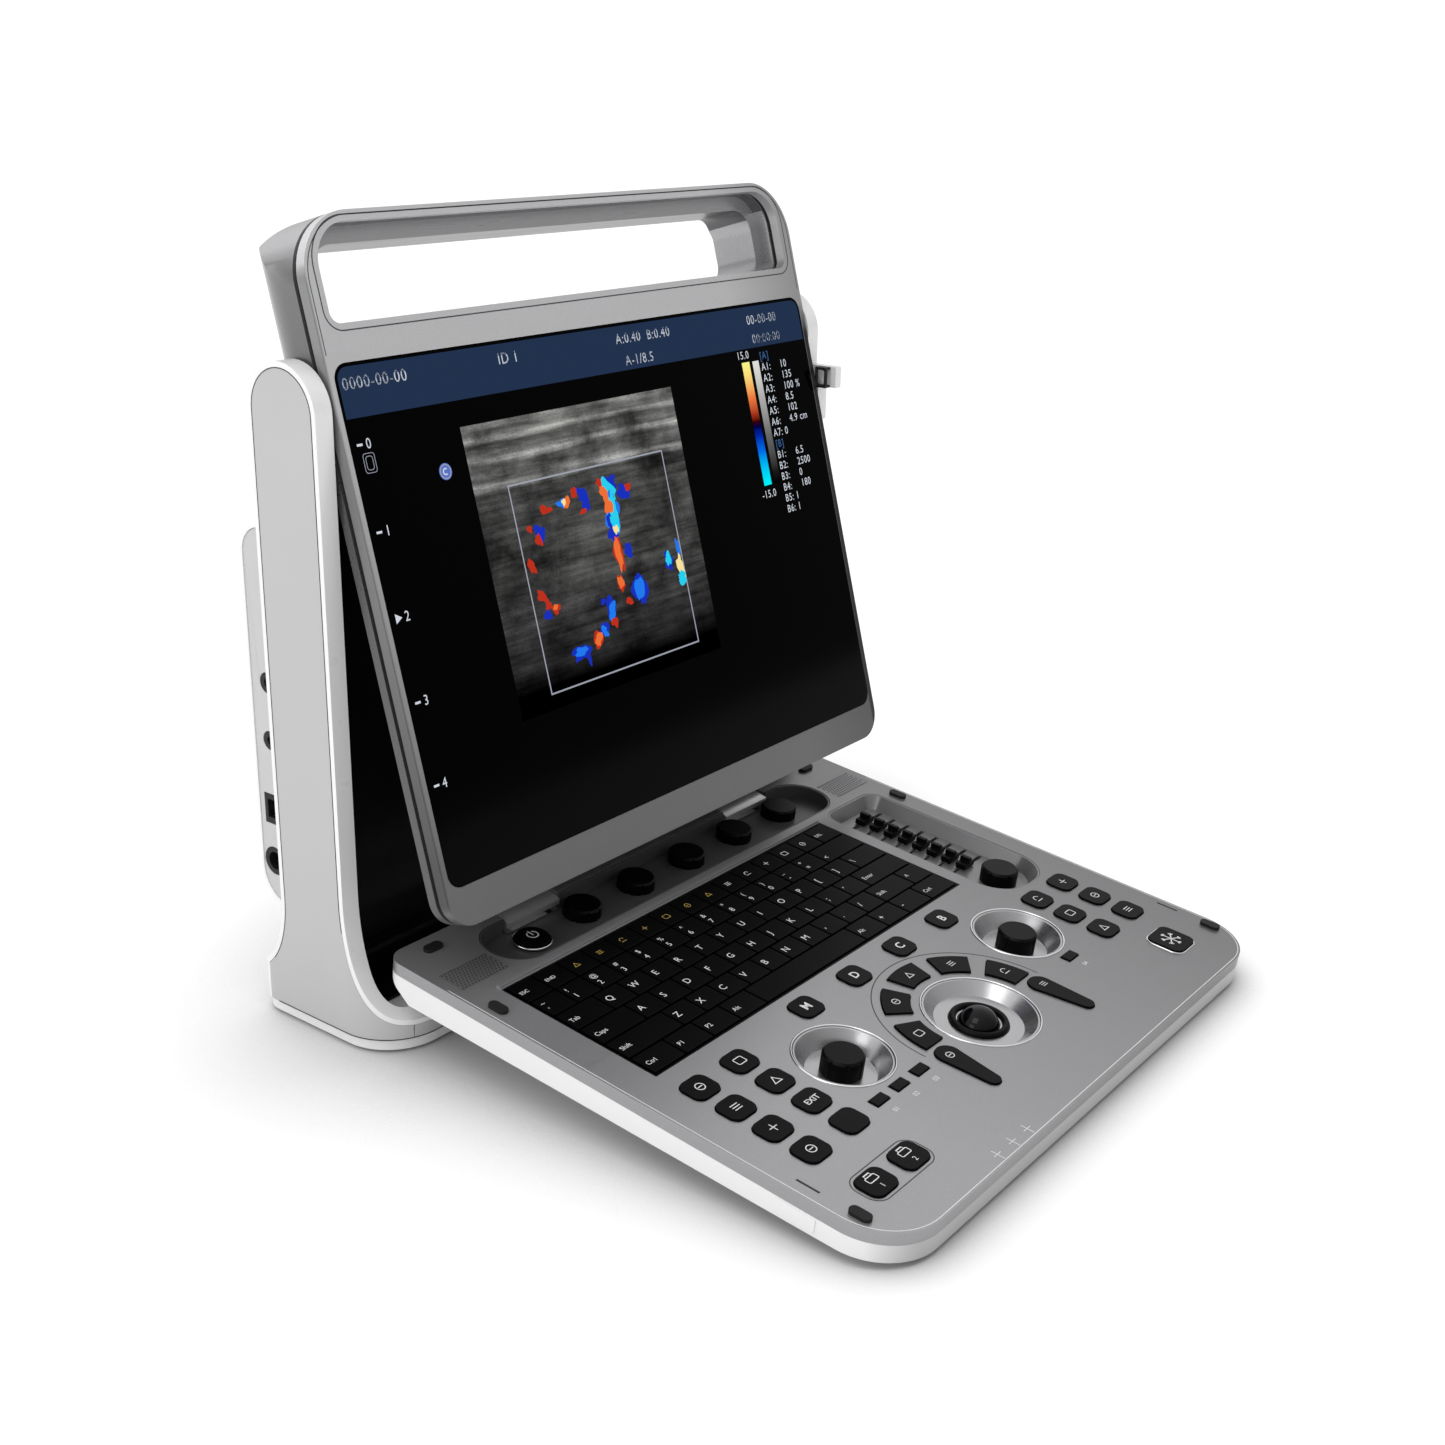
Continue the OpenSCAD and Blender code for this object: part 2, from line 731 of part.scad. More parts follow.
// One row of keys: widths lists each key's width in key pitches
module key_row(row, widths) {
    total = [for (i = 0, sum = 0; i <= len(widths); sum = sum + (i < len(widths) ? widths[i] : 0),
        i = i + 1) sum];
    unit = (kb_x1 - kb_x0 - 3) / total[len(widths)];
    pitch = (kb_s1 - kb_s0 - 3) / kb_rows;
    color("#181818") on_console() for (i = [0:len(widths) - 1])
        translate([kb_x0 + 1.5 + total[i] * unit + key_gap / 2,
            -kb_s0 - 1.5 - pitch * row + key_gap / 2, -2.6])
            cube([widths[i] * unit - key_gap, pitch - key_gap, 2.8]);
}

module key_row_1() {
    key_row(1, [for (i = [0:14]) 1]);
}

module key_row_2() {
    key_row(2, concat([for (i = [0:12]) 1], [2]));
}

module key_row_3() {
    key_row(3, concat([1.5], [for (i = [0:11]) 1], [1.5]));
}

module key_row_4() {
    key_row(4, concat([1.8], [for (i = [0:10]) 1], [2.2]));
}

module key_row_5() {
    key_row(5, concat([2.3], [for (i = [0:9]) 1], [1.7, 1]));
}

module key_row_6() {
    key_row(6, [1.3, 1.2, 1.2, 1.2, 5, 1.2, 1.2, 1.3, 1.4]);
}

module power_button() {
    color("black") at(power_x, power_s, -strip_depth) {
        translate([0, 0, -1]) cylinder(h = 4.2, r = power_r);
        cylinder(h = 4, r = power_r - 1);
    }
}

// Hole for the stem of a knob
module stem_hole() {
    translate([0, 0, -20]) cylinder(h = 30, r = stem_r + pin_fit);
}

// A round knob on a stem, with finger grooves down its side
module knob(r, h, grooves) {
    translate([0, 0, -stem_l]) cylinder(h = stem_l + 1, r = stem_r);
    difference() {
        union() {
            cylinder(h = h - 1, r = r);
            translate([0, 0, h - 1 - eps]) cylinder(h = 1, r1 = r, r2 = r - 1);
        }
        for (i = [0:grooves - 1]) rotate([0, 0, i * 360 / grooves])
            translate([r + 0.5, 0, -1]) cylinder(h = h + 2, r = 1);
    }
}

module menu_knob(i) {
    color("#141414") at(knob_x0 + knob_pitch * (i - 1), knob_s, -strip_depth + 0.3) knob(9.5, 5.9, 9);
}

module menu_knob_1() {
    menu_knob(1);
}

module menu_knob_2() {
    menu_knob(2);
}

module menu_knob_3() {
    menu_knob(3);
}

module menu_knob_4() {
    menu_knob(4);
}

module menu_knob_5() {
    menu_knob(5);
}

module gain_tray() {
    color("silver") on_console() difference() {
        translate([0, 0, -8.5]) linear_extrude(8.3) gain_plan(0.2);
        hull() {
            translate([0, 0, -7]) linear_extrude(eps) gain_plan(5);
            translate([0, 0, 0.3]) linear_extrude(eps) gain_plan(0.8);
        }
        for (i = [0:7]) translate([gain_x - 17, -slider_s0 - slider_pitch * i - 1, -9])
            cube([34, 2, 4]);
        translate([gain_x, -gain_knob_s, 0]) stem_hole();
    }
}

module gain_slider(i) {
    color("#151515") at(gain_x, slider_s0 + slider_pitch * (i - 1), -6.6) {
        translate([-5, -2.9, 0]) cube([10, 5.8, 3]);
        translate([-1.3, -2.9, 0]) cube([2.6, 5.8, 5.6]);
    }
}

module gain_slider_1() {
    gain_slider(1);
}

module gain_slider_2() {
    gain_slider(2);
}

module gain_slider_3() {
    gain_slider(3);
}

module gain_slider_4() {
    gain_slider(4);
}

module gain_slider_5() {
    gain_slider(5);
}

module gain_slider_6() {
    gain_slider(6);
}

module gain_slider_7() {
    gain_slider(7);
}

module gain_slider_8() {
    gain_slider(8);
}

module gain_knob() {
    color("#141414") at(gain_x, gain_knob_s, -6.7) knob(9.6, 7.9, 6);
}

module dial(x) {
    color("#141414") at(x, dial_s, -7.7) knob(9.5, 9.2, 8);
}

module dial_left() {
    dial(-dial_x);
}

module dial_right() {
    dial(dial_x);
}

// A bright dish round a dial or the trackball, with a sloped rim round a flat floor
module dish(r_out, r_in, depth) {
    rotate_extrude() polygon([[r_in, -depth], [r_in, -depth - 1.4], [r_out - 0.2, -depth - 1.4],
        [r_out - 0.2, 0], [r_out - 1.2, 0], [r_out - 5.8, -depth + 0.6], [r_out - 6.4, -depth]]);
}

module control_dishes() {
    color("gainsboro") {
        for (x = [-dial_x, dial_x]) at(x, dial_s) {
            dish(dial_dish_r, 12, 8);
            difference() {
                translate([0, 0, -9.4]) cylinder(h = 1.4, r = 12 + eps);
                stem_hole();
            }
        }
        at(0, ball_s) dish(ball_dish_r, 14, 5.2);
    }
}

module trackball() {
    color("#0c0c10") at(0, ball_s, ball_h) sphere(d = ball_d);
}

module raised(h0, h1) {
    on_console() translate([0, 0, h0]) linear_extrude(h1 - h0) children();
}

module mode_keys() {
    color("#1a1a1a") raised(-3, 1) each_mode() key_plan(key_w, key_d);
}

module function_keys() {
    color("#1a1a1a") raised(-3, 1) each_function() key_plan(key_w, key_d);
}

module arc_keys() {
    color("#1a1a1a") raised(-3, 1) arc_plans(0);
}

module soft_buttons() {
    color("#1a1a1a") raised(-3, 0.8) each_soft() square([9, 5], center = true);
}

module freeze_key() {
    color("#1a1a1a") raised(-3, 1.2) translate([127.5, -234]) key_plan(18.5, 18.5);
}

module print_keys() {
    color("#1a1a1a") raised(-3, 1) each_print() key_plan(key_w + 1, key_d);
}

module rubber_bumpers() {
    color("#202020") {
        raised(0, 1.6) {
            for (x = [-157, 157], s = [54.6, 241.5]) translate([x - 2.5, -s - 5])
                rounded(0, 0, 5, 10, 2.45);
            for (x = [-143.7, 143.7]) translate([x - 5, -3.5]) rounded(0, 0, 10, 5, 2.45);
        }
        intersection() {
            for (x = [-130, 130]) at(x, 244, -30) cylinder(h = 30 - front_t - 0.45, r = 7);
            translate([-body_w / 2, -400, 0]) cube([body_w, 400, 20]);
        }
    }
}

// ---- Assembly ----

foot_plate();
base_shell();
side_cover_left();
side_cover_right();
front_strip();
well_liner();
rear_housing();
io_panel();
io_ports();
probe_connector();
main_board();
battery_pack();
fan_rotor();
rubber_feet();
hinge_hardware();
cable_hook();
screen_front_frame();
screen_rear_shell();
screen_gasket();
screen_glass();
lcd_panel();
console_top_panel();
console_lower_shell();
knob_strip();
speaker_grilles();
hinge_covers();
keyboard_tray();
key_row_1();
key_row_2();
key_row_3();
key_row_4();
key_row_5();
key_row_6();
power_button();
menu_knob_1();
menu_knob_2();
menu_knob_3();
menu_knob_4();
menu_knob_5();
gain_tray();
gain_slider_1();
gain_slider_2();
gain_slider_3();
gain_slider_4();
gain_slider_5();
gain_slider_6();
gain_slider_7();
gain_slider_8();
gain_knob();
dial_left();
dial_right();
control_dishes();
trackball();
mode_keys();
function_keys();
arc_keys();
soft_buttons();
freeze_key();
print_keys();
rubber_bumpers();
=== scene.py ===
"""Looks of the portable ultrasound scanner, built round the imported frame. Metres, +Z up, user at -Y."""

import math
import random

import bpy
from mathutils import Matrix, Vector


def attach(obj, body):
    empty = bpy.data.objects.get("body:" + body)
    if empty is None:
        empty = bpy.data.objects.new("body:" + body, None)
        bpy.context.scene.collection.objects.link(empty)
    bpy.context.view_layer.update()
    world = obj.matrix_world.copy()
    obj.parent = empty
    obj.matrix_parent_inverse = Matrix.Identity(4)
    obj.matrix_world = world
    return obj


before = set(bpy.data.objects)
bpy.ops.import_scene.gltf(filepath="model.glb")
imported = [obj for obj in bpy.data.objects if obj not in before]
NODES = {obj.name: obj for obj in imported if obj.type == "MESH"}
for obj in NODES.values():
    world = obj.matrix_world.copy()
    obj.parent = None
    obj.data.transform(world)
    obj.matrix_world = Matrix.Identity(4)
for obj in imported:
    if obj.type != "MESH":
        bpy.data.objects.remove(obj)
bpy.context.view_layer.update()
MM = 0.001

# ---------------------------------------------------------------- camera

CAM_POS = Vector((-0.64762, -0.58556, 0.42284))
CAM_AZ, CAM_EL, CAM_ROLL = math.radians(-52.68), math.radians(20.06), math.radians(1.24)
CAM_LENS, CAM_SENSOR = 45.54, 36


def make_camera():
    back = Vector((math.sin(CAM_AZ) * math.cos(CAM_EL), -math.cos(CAM_AZ) * math.cos(CAM_EL),
                   math.sin(CAM_EL)))
    right = (-back).cross(Vector((0, 0, 1))).normalized()
    up = right.cross(-back)
    cr, sr = math.cos(CAM_ROLL), math.sin(CAM_ROLL)
    right, up = cr * right + sr * up, -sr * right + cr * up
    data = bpy.data.cameras.new("camera")
    data.lens = CAM_LENS
    data.sensor_width = CAM_SENSOR
    data.clip_start, data.clip_end = 0.01, 200
    cam = bpy.data.objects.new("camera", data)
    m = Matrix((right, up, back)).transposed().to_4x4()
    m.translation = CAM_POS
    cam.matrix_world = m
    bpy.context.scene.collection.objects.link(cam)
    bpy.context.scene.camera = cam


make_camera()

# ---------------------------------------------------------------- places on the object

PIVOT = Vector((0, 2.75, 283.5))
LEAN = math.radians(15.26)
GLASS_BOTTOM, GLASS_OFF = -207.5, 20.6
HINGE = Vector((0, -39.1, 31.0))
SLOPE = math.radians(6.37)
AXIS_DROP = 15.0


def on_screen(u, v, w=0.0):
    """u right, v up from the glass's lower edge, w out of its face, all in mm."""
    y, z = -GLASS_OFF - w, GLASS_BOTTOM + v
    c, s = math.cos(LEAN), math.sin(LEAN)
    return Vector((u, PIVOT.y + y * c + z * s, PIVOT.z - y * s + z * c)) * MM


def on_console(x, s, h=0.0):
    """x right, s towards the user from the hinge, h above the top face, all in mm."""
    c, n = math.cos(SLOPE), math.sin(SLOPE)
    return Vector((x, HINGE.y - s * c - (h + AXIS_DROP) * n, HINGE.z - s * n + (h + AXIS_DROP) * c)) * MM


def console_flat(x, y, h=0.0):
    """The same, with y away from the user, so that flat drawings read the right way up."""
    return on_console(x, -y, h)


# ---------------------------------------------------------------- materials

class Tree:
    """A node tree with short helpers."""

    def __init__(self, tree):
        self.tree = tree

    def add(self, kind, **props):
        node = self.tree.nodes.new(kind)
        for name, value in props.items():
            setattr(node, name, value)
        return node

    def link(self, a, b):
        self.tree.links.new(a, b)

    def axes(self, space="Object"):
        """The X, Y and Z outputs of a texture coordinate."""
        coord = self.add("ShaderNodeTexCoord")
        parts = self.add("ShaderNodeSeparateXYZ")
        self.link(coord.outputs[space], parts.inputs["Vector"])
        return parts.outputs

    def map_range(self, value, from_min, from_max, to_min=0.0, to_max=1.0):
        node = self.add("ShaderNodeMapRange")
        for name, number in (("From Min", from_min), ("From Max", from_max),
                             ("To Min", to_min), ("To Max", to_max)):
            node.inputs[name].default_value = number
        self.link(value, node.inputs["Value"])
        return node.outputs["Result"]

    def ramp(self, fac, stops):
        node = self.add("ShaderNodeValToRGB")
        elements = node.color_ramp.elements
        while len(elements) < len(stops):
            elements.new(0.5)
        for element, (position, color) in zip(elements, stops):
            element.position = position
            element.color = (*color, 1)
        self.link(fac, node.inputs["Fac"])
        return node.outputs["Color"]

    def scale(self, color, factor):
        node = self.add("ShaderNodeVectorMath", operation="SCALE")
        self.link(color, node.inputs[0])
        self.link(factor, node.inputs["Scale"])
        return node.outputs["Vector"]


class Nodes(Tree):
    """A material's node tree."""

    def __init__(self, name, color=(0.8, 0.8, 0.8), rough=0.5, metal=0.0, **more):
        self.mat = bpy.data.materials.new(name)
        self.mat.use_nodes = True
        super().__init__(self.mat.node_tree)
        self.bsdf = self.tree.nodes["Principled BSDF"]
        self.set("Base Color", (*color, 1))
        self.set("Roughness", rough)
        self.set("Metallic", metal)
        for socket, value in more.items():
            self.set(socket.replace("_", " "), value)

    def set(self, socket, value):
        self.bsdf.inputs[socket].default_value = value

    def drive(self, socket, output):
        self.link(output, self.bsdf.inputs[socket])

    def noise(self, scale, detail=3.0, stretch=(1, 1, 1), rough=0.5):
        coord = self.add("ShaderNodeTexCoord")
        mapping = self.add("ShaderNodeMapping")
        mapping.inputs["Scale"].default_value = stretch
        self.link(coord.outputs["Object"], mapping.inputs["Vector"])
        node = self.add("ShaderNodeTexNoise")
        node.inputs["Scale"].default_value = scale
        node.inputs["Detail"].default_value = detail
        node.inputs["Roughness"].default_value = rough
        self.link(mapping.outputs["Vector"], node.inputs["Vector"])
        return node.outputs["Fac"]

    def vary(self, socket, fac, low, high):
        """Drives a number socket with fac mapped from low to high."""
        self.drive(socket, self.map_range(fac, 0, 1, low, high))

    def fade(self, color, axis, start, end, first, last):
        """Multiplies a colour by a factor that runs from first to last along one axis."""
        return self.scale(color, self.map_range(self.axes()[axis], start, end, first, last))

    def darken_right_edge(self, color):
        """The narrow border right of the glass is in deep shade below the handle."""
        masks = [self.map_range(self.axes()[axis], start, end)
                 for axis, start, end in (("X", 0.1598, 0.1606), ("Z", 0.300, 0.285))]
        both = self.add("ShaderNodeMath", operation="MULTIPLY")
        for mask, socket in zip(masks, both.inputs):
            self.link(mask, socket)
        mix = self.add("ShaderNodeMix", data_type="RGBA")
        self.link(both.outputs[0], mix.inputs["Factor"])
        self.link(color, mix.inputs["A"])
        mix.inputs["B"].default_value = (0.02, 0.02, 0.021, 1)
        return mix.outputs["Result"]

    def bump(self, fac, strength, distance):
        node = self.add("ShaderNodeBump")
        node.inputs["Strength"].default_value = strength
        node.inputs["Distance"].default_value = distance
        self.link(fac, node.inputs["Height"])
        self.drive("Normal", node.outputs["Normal"])


def plastic(name, color, rough, grain, spread, coat=0.0, shine=0.5, painted_shade_fades=()):
    """Moulded plastic: slight mottling, fine grain and uneven gloss; each fade darkens the colour along
    one axis as painted shade.
    """
    m = Nodes(name, color, rough, Specular_IOR_Level=shine)
    if coat:
        m.set("Coat Weight", coat)
        m.set("Coat Roughness", 0.08)
    dark = tuple(c * (1 - spread) for c in color)
    out = m.ramp(m.noise(28, 4), [(0.3, dark), (0.7, color)])
    for f in painted_shade_fades:
        out = m.fade(out, *f)
    m.drive("Base Color", out)
    m.vary("Roughness", m.noise(60, 2), max(rough - 0.04, 0.02), rough + 0.05)
    if grain:
        m.bump(m.noise(2600, 2), grain, 0.00006)
    return m.mat


def silver(name, color, rough, grain_dir, strength=0.05, dark_edge=False, painted_shade_fades=(), metallic=0.6):
    """Satin metallic paint with fine flakes and a faint directional grain; each fade scales the colour
    along one axis as painted shade and light, and dark_edge paints deep shade on the narrow border right
    of the glass.
    """
    m = Nodes(name, color, rough, metallic)
    low = tuple(c * 0.86 for c in color)
    high = tuple(min(c * 1.1, 1) for c in color)
    out = m.ramp(m.noise(5200, 1), [(0.3, low), (0.7, high)])
    for f in painted_shade_fades:
        out = m.fade(out, *f)
    if dark_edge:
        out = m.darken_right_edge(out)
    m.drive("Base Color", out)
    m.vary("Roughness", m.noise(220, 3, grain_dir), rough - 0.05, rough + 0.06)
    m.bump(m.noise(900, 2, grain_dir), strength, 0.00004)
    return m.mat


def metal(name, color, rough, brush=None):
    """Bare metal, brushed where a direction is given."""
    m = Nodes(name, color, rough, 1.0)
    m.vary("Roughness", m.noise(500, 3, brush or (1, 1, 1)), rough * 0.7, rough * 1.4)
    if brush:
        m.bump(m.noise(1400, 2, brush), 0.06, 0.00004)
    return m.mat


def lit(name):
    """A dark surface behind the glass that gives off light."""
    return Nodes(name, (0, 0, 0), 0.3, Specular_IOR_Level=0.0, Emission_Strength=1.0)


def glow(name, color):
    m = lit(name)
    m.set("Emission Color", (*color, 1))
    return m.mat


def ink(name, color):
    """Printed marks, legends and engraved lines; the pale mark ink also paints a highlight along the
    console's edge.
    """
    return Nodes(name, color, 0.6, Specular_IOR_Level=0.2).mat


LOOK = {
    "white": plastic("white_gloss", (0.86, 0.86, 0.86), 0.28, 0.02, 0.015, 0.35),
    # Painted shade: the console's white is darkened to 0.55 of its colour along its front face, towards
    # the user.
    "console": plastic("console_white", (0.84, 0.84, 0.84), 0.3, 0.02, 0.015, 0.3,
                       painted_shade_fades=(("Y", -0.301, -0.286, 0.55, 1.0),)),
    "cover": plastic("cover_grey", (0.50, 0.50, 0.50), 0.55, 0.12, 0.02),
    "strip": plastic("strip_grey", (0.5, 0.5, 0.5), 0.5, 0.1, 0.03),
    "liner": plastic("liner_black", (0.006, 0.006, 0.006), 0.35, 0.05, 0.3, shine=0.2),
    "panel": plastic("panel_white", (0.55, 0.55, 0.55), 0.4, 0.05, 0.02),
    "port": plastic("port_black", (0.012, 0.012, 0.012), 0.45, 0.1, 0.3, shine=0.25),
    "connector": plastic("connector_grey", (0.07, 0.07, 0.075), 0.45, 0.1, 0.2),
    "board": plastic("board_green", (0.02, 0.16, 0.06), 0.4, 0.05, 0.3),
    "battery": plastic("battery_black", (0.03, 0.03, 0.03), 0.5, 0.1, 0.2),
    "rubber": plastic("rubber_black", (0.012, 0.012, 0.012), 0.6, 0.2, 0.3, shine=0.25),
    "pin": metal("pin_steel", (0.55, 0.55, 0.56), 0.3, (1, 0.05, 1)),
    # Painted shade and light in the frame's colour: darker towards the bottom and brighter at the top,
    # darker towards the right and on its left side face, and the border right of the glass painted near
    # black below the handle.
    "frame": silver("silver_frame", (0.58, 0.58, 0.59), 0.32, (0.05, 1, 1), 0.05, True,
                    (("Z", 0.10, 0.30, 0.30, 1.15), ("X", 0.10, 0.16, 1.0, 0.62),
                     ("X", -0.1634, -0.1622, 0.4, 1.0)), 0.5),
    # Painted shade in the rear shell's colour: both side faces darkened, and darker towards the bottom.
    "shell": silver("silver_shell", (0.46, 0.46, 0.47), 0.28, (0.05, 1, 1), 0.05, False,
                    (("X", -0.1636, -0.1570, 0.42, 1.0), ("X", 0.1570, 0.1636, 1.0, 0.42),
                     ("Z", 0.24, 0.34, 0.55, 1.0))),
    # Painted shade: the console's top panel darkens towards the right.
    "top": silver("silver_top", (0.35, 0.35, 0.36), 0.3, (0.06, 1, 1), 0.05, False,
                  (("X", -0.10, 0.16, 1.0, 0.55),)),
    # Painted shade: a darker copy of the silver for the underside of the handle's bar.
    "grip": silver("silver_grip_shade", (0.13, 0.13, 0.135), 0.3, (0.05, 1, 1)),
    "hinge": silver("silver_hinge", (0.66, 0.66, 0.67), 0.3, (0.06, 1, 1)),
    "groove": plastic("groove_grey", (0.02, 0.02, 0.021), 0.5, 0.0, 0.2, shine=0.2),
    "glass": Nodes("black_glass", (0.0006, 0.0006, 0.0008), 0.08, Specular_IOR_Level=0.03).mat,
    "lcd": plastic("lcd_back", (0.3, 0.3, 0.31), 0.4, 0.05, 0.1),
    "strip_dark": plastic("strip_dark", (0.075, 0.075, 0.078), 0.32, 0.05, 0.1, shine=0.4),
    "grille": silver("silver_grille", (0.30, 0.30, 0.31), 0.36, (0.06, 1, 1)),
    "key": plastic("key_black", (0.0012, 0.0012, 0.0014), 0.4, 0.03, 0.3, shine=0.05),
    "tray": plastic("tray_black", (0.0015, 0.0015, 0.0017), 0.3, 0.02, 0.3, shine=0.05),
    "button": plastic("button_black", (0.0025, 0.0025, 0.0027), 0.4, 0.06, 0.25, shine=0.08),
    "knob": plastic("knob_black", (0.0015, 0.0015, 0.0017), 0.38, 0.06, 0.3, shine=0.1),
    "chrome": metal("chrome", (0.78, 0.78, 0.79), 0.16),
    "gain": silver("satin_silver", (0.22, 0.22, 0.225), 0.3, (0.05, 1, 1), 0.03),
    "dish": silver("dish_satin", (0.44, 0.44, 0.45), 0.24, (1, 1, 0.05), 0.02, False, (), 0.9),
    "ball": Nodes("ball_black", (0.002, 0.002, 0.003), 0.06, Specular_IOR_Level=0.2).mat,
    "legend": ink("legend_white", (0.75, 0.75, 0.75)),
    "legend_yellow": ink("legend_yellow", (0.45, 0.33, 0.08)),
    "line": ink("line_grey", (0.06, 0.06, 0.06)),
    # Pale print for marks, also used for the painted highlight along the console's edge.
    "mark": ink("mark_and_painted_highlight", (0.8, 0.8, 0.8)),
}

NODE_LOOK = {
    "white": "foot_plate base_shell rear_housing",
    "console": "console_lower_shell",
    "cover": "side_cover_left side_cover_right",
    "strip": "front_strip",
    "liner": "well_liner fan_rotor",
    "panel": "io_panel",
    "port": "io_ports cable_hook",
    "connector": "probe_connector",
    "board": "main_board",
    "battery": "battery_pack",
    "rubber": "rubber_feet rubber_bumpers",
    "pin": "hinge_hardware",
    "frame": "screen_front_frame",
    "shell": "screen_rear_shell",
    "hinge": "hinge_covers",
    "top": "console_top_panel",
    "groove": "screen_gasket",
    "glass": "screen_glass",
    "lcd": "lcd_panel",
    "strip_dark": "knob_strip",
    "grille": "speaker_grilles",
    "tray": "keyboard_tray",
    "key": "key_row_1 key_row_2 key_row_3 key_row_4 key_row_5 key_row_6",
    "button": "power_button mode_keys function_keys arc_keys soft_buttons freeze_key print_keys",
    "knob": "gain_knob dial_left dial_right " + " ".join(
        ["menu_knob_%d" % i for i in range(1, 6)] + ["gain_slider_%d" % i for i in range(1, 9)]),
    "gain": "gain_tray",
    "dish": "control_dishes",
    "ball": "trackball",
}

# Edge rounding of each CAD node: width in mm, segments, smallest angle in degrees
BEVEL = {
    "base_shell": (2.6, 4, 50), "foot_plate": (0.8, 2, 50), "side_cover_left": (0.25, 1, 60),
    "side_cover_right": (0.25, 1, 60), "front_strip": (0.25, 1, 60), "rear_housing": (1.6, 3, 60),
    "io_panel": (0.2, 1, 60), "screen_front_frame": (0.7, 3, 50), "screen_rear_shell": (2.2, 4, 48),
    "screen_glass": (0.3, 2, 60), "console_top_panel": (0.5, 2, 60),
    "console_lower_shell": (1.2, 3, 60), "gain_tray": (0.4, 2, 60), "knob_strip": (0.4, 2, 60),
    "hinge_covers": (0.5, 2, 60), "cable_hook": (0.8, 3, 60), "control_dishes": (0.25, 2, 50),
    "power_button": (0.3, 2, 50), "gain_knob": (0.5, 2, 40), "dial_left": (0.5, 2, 40),
    "dial_right": (0.5, 2, 40), "mode_keys": (0.7, 3, 60), "function_keys": (0.7, 3, 60),
    "arc_keys": (0.7, 3, 60), "print_keys": (0.7, 3, 60), "freeze_key": (0.7, 3, 60),
    "soft_buttons": (0.4, 2, 60), "rubber_bumpers": (0.8, 3, 60), "rubber_feet": (0.3, 2, 60),
    "probe_connector": (0.5, 2, 60), "well_liner": (0.6, 2, 50),
}
for i in range(1, 6):
    BEVEL["menu_knob_%d" % i] = (0.5, 2, 40)
for i in range(1, 9):
    BEVEL["gain_slider_%d" % i] = (0.5, 2, 60)
for i in range(1, 7):
    BEVEL["key_row_%d" % i] = (0.45, 2, 60)


WELD_DISTANCE = 0.00001
SPLIT_ANGLE = math.radians(32)
# Height above which downward faces of the rear shell get painted shade.
GRIP_SHADE_Z = 0.335


def dress_nodes():
    """Materials and edge rounding of every CAD node."""
    for look, names in NODE_LOOK.items():
        for n in names.split():
            o = NODES[n]
            o.data.materials.clear()
            o.data.materials.append(LOOK[look])
            for p in o.data.polygons:
                p.use_smooth = True
            weld = o.modifiers.new("weld", "WELD")
            weld.merge_threshold = WELD_DISTANCE
            if n in BEVEL:
                width, segments, angle = BEVEL[n]
                bevel = o.modifiers.new("bevel", "BEVEL")
                bevel.width = width * MM
                bevel.segments = segments
                bevel.limit_method = "ANGLE"
                bevel.angle_limit = math.radians(angle)
                bevel.harden_normals = False
                bevel.use_clamp_overlap = True
            split = o.modifiers.new("split", "EDGE_SPLIT")
            split.split_angle = SPLIT_ANGLE
            normals = o.modifiers.new("normals", "WEIGHTED_NORMAL")
            normals.keep_sharp = True


dress_nodes()


def dress_grip():
    """Painted shade: faces under the handle's bar that look downwards get a darker copy of the silver."""
    o = NODES["screen_rear_shell"]
    o.data.materials.append(LOOK["grip"])
    for p in o.data.polygons:
        if p.normal.z < -0.5 and p.center.z > GRIP_SHADE_Z:
            p.material_index = 1


dress_grip()

# ---------------------------------------------------------------- mesh helpers


def make(name, verts, faces, mats, body, face_mat=()):
    """A piece that rides on a body, with one of its materials for each face."""
    me = bpy.data.meshes.new(name)
    me.from_pydata([tuple(v) for v in verts], [], faces)
    me.validate()
    o = bpy.data.objects.new(name, me)
    bpy.context.scene.collection.objects.link(o)
    for mat in mats:
        me.materials.append(mat)
    for p, i in zip(me.polygons, face_mat):
        p.material_index = i
    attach(o, body)
    return o


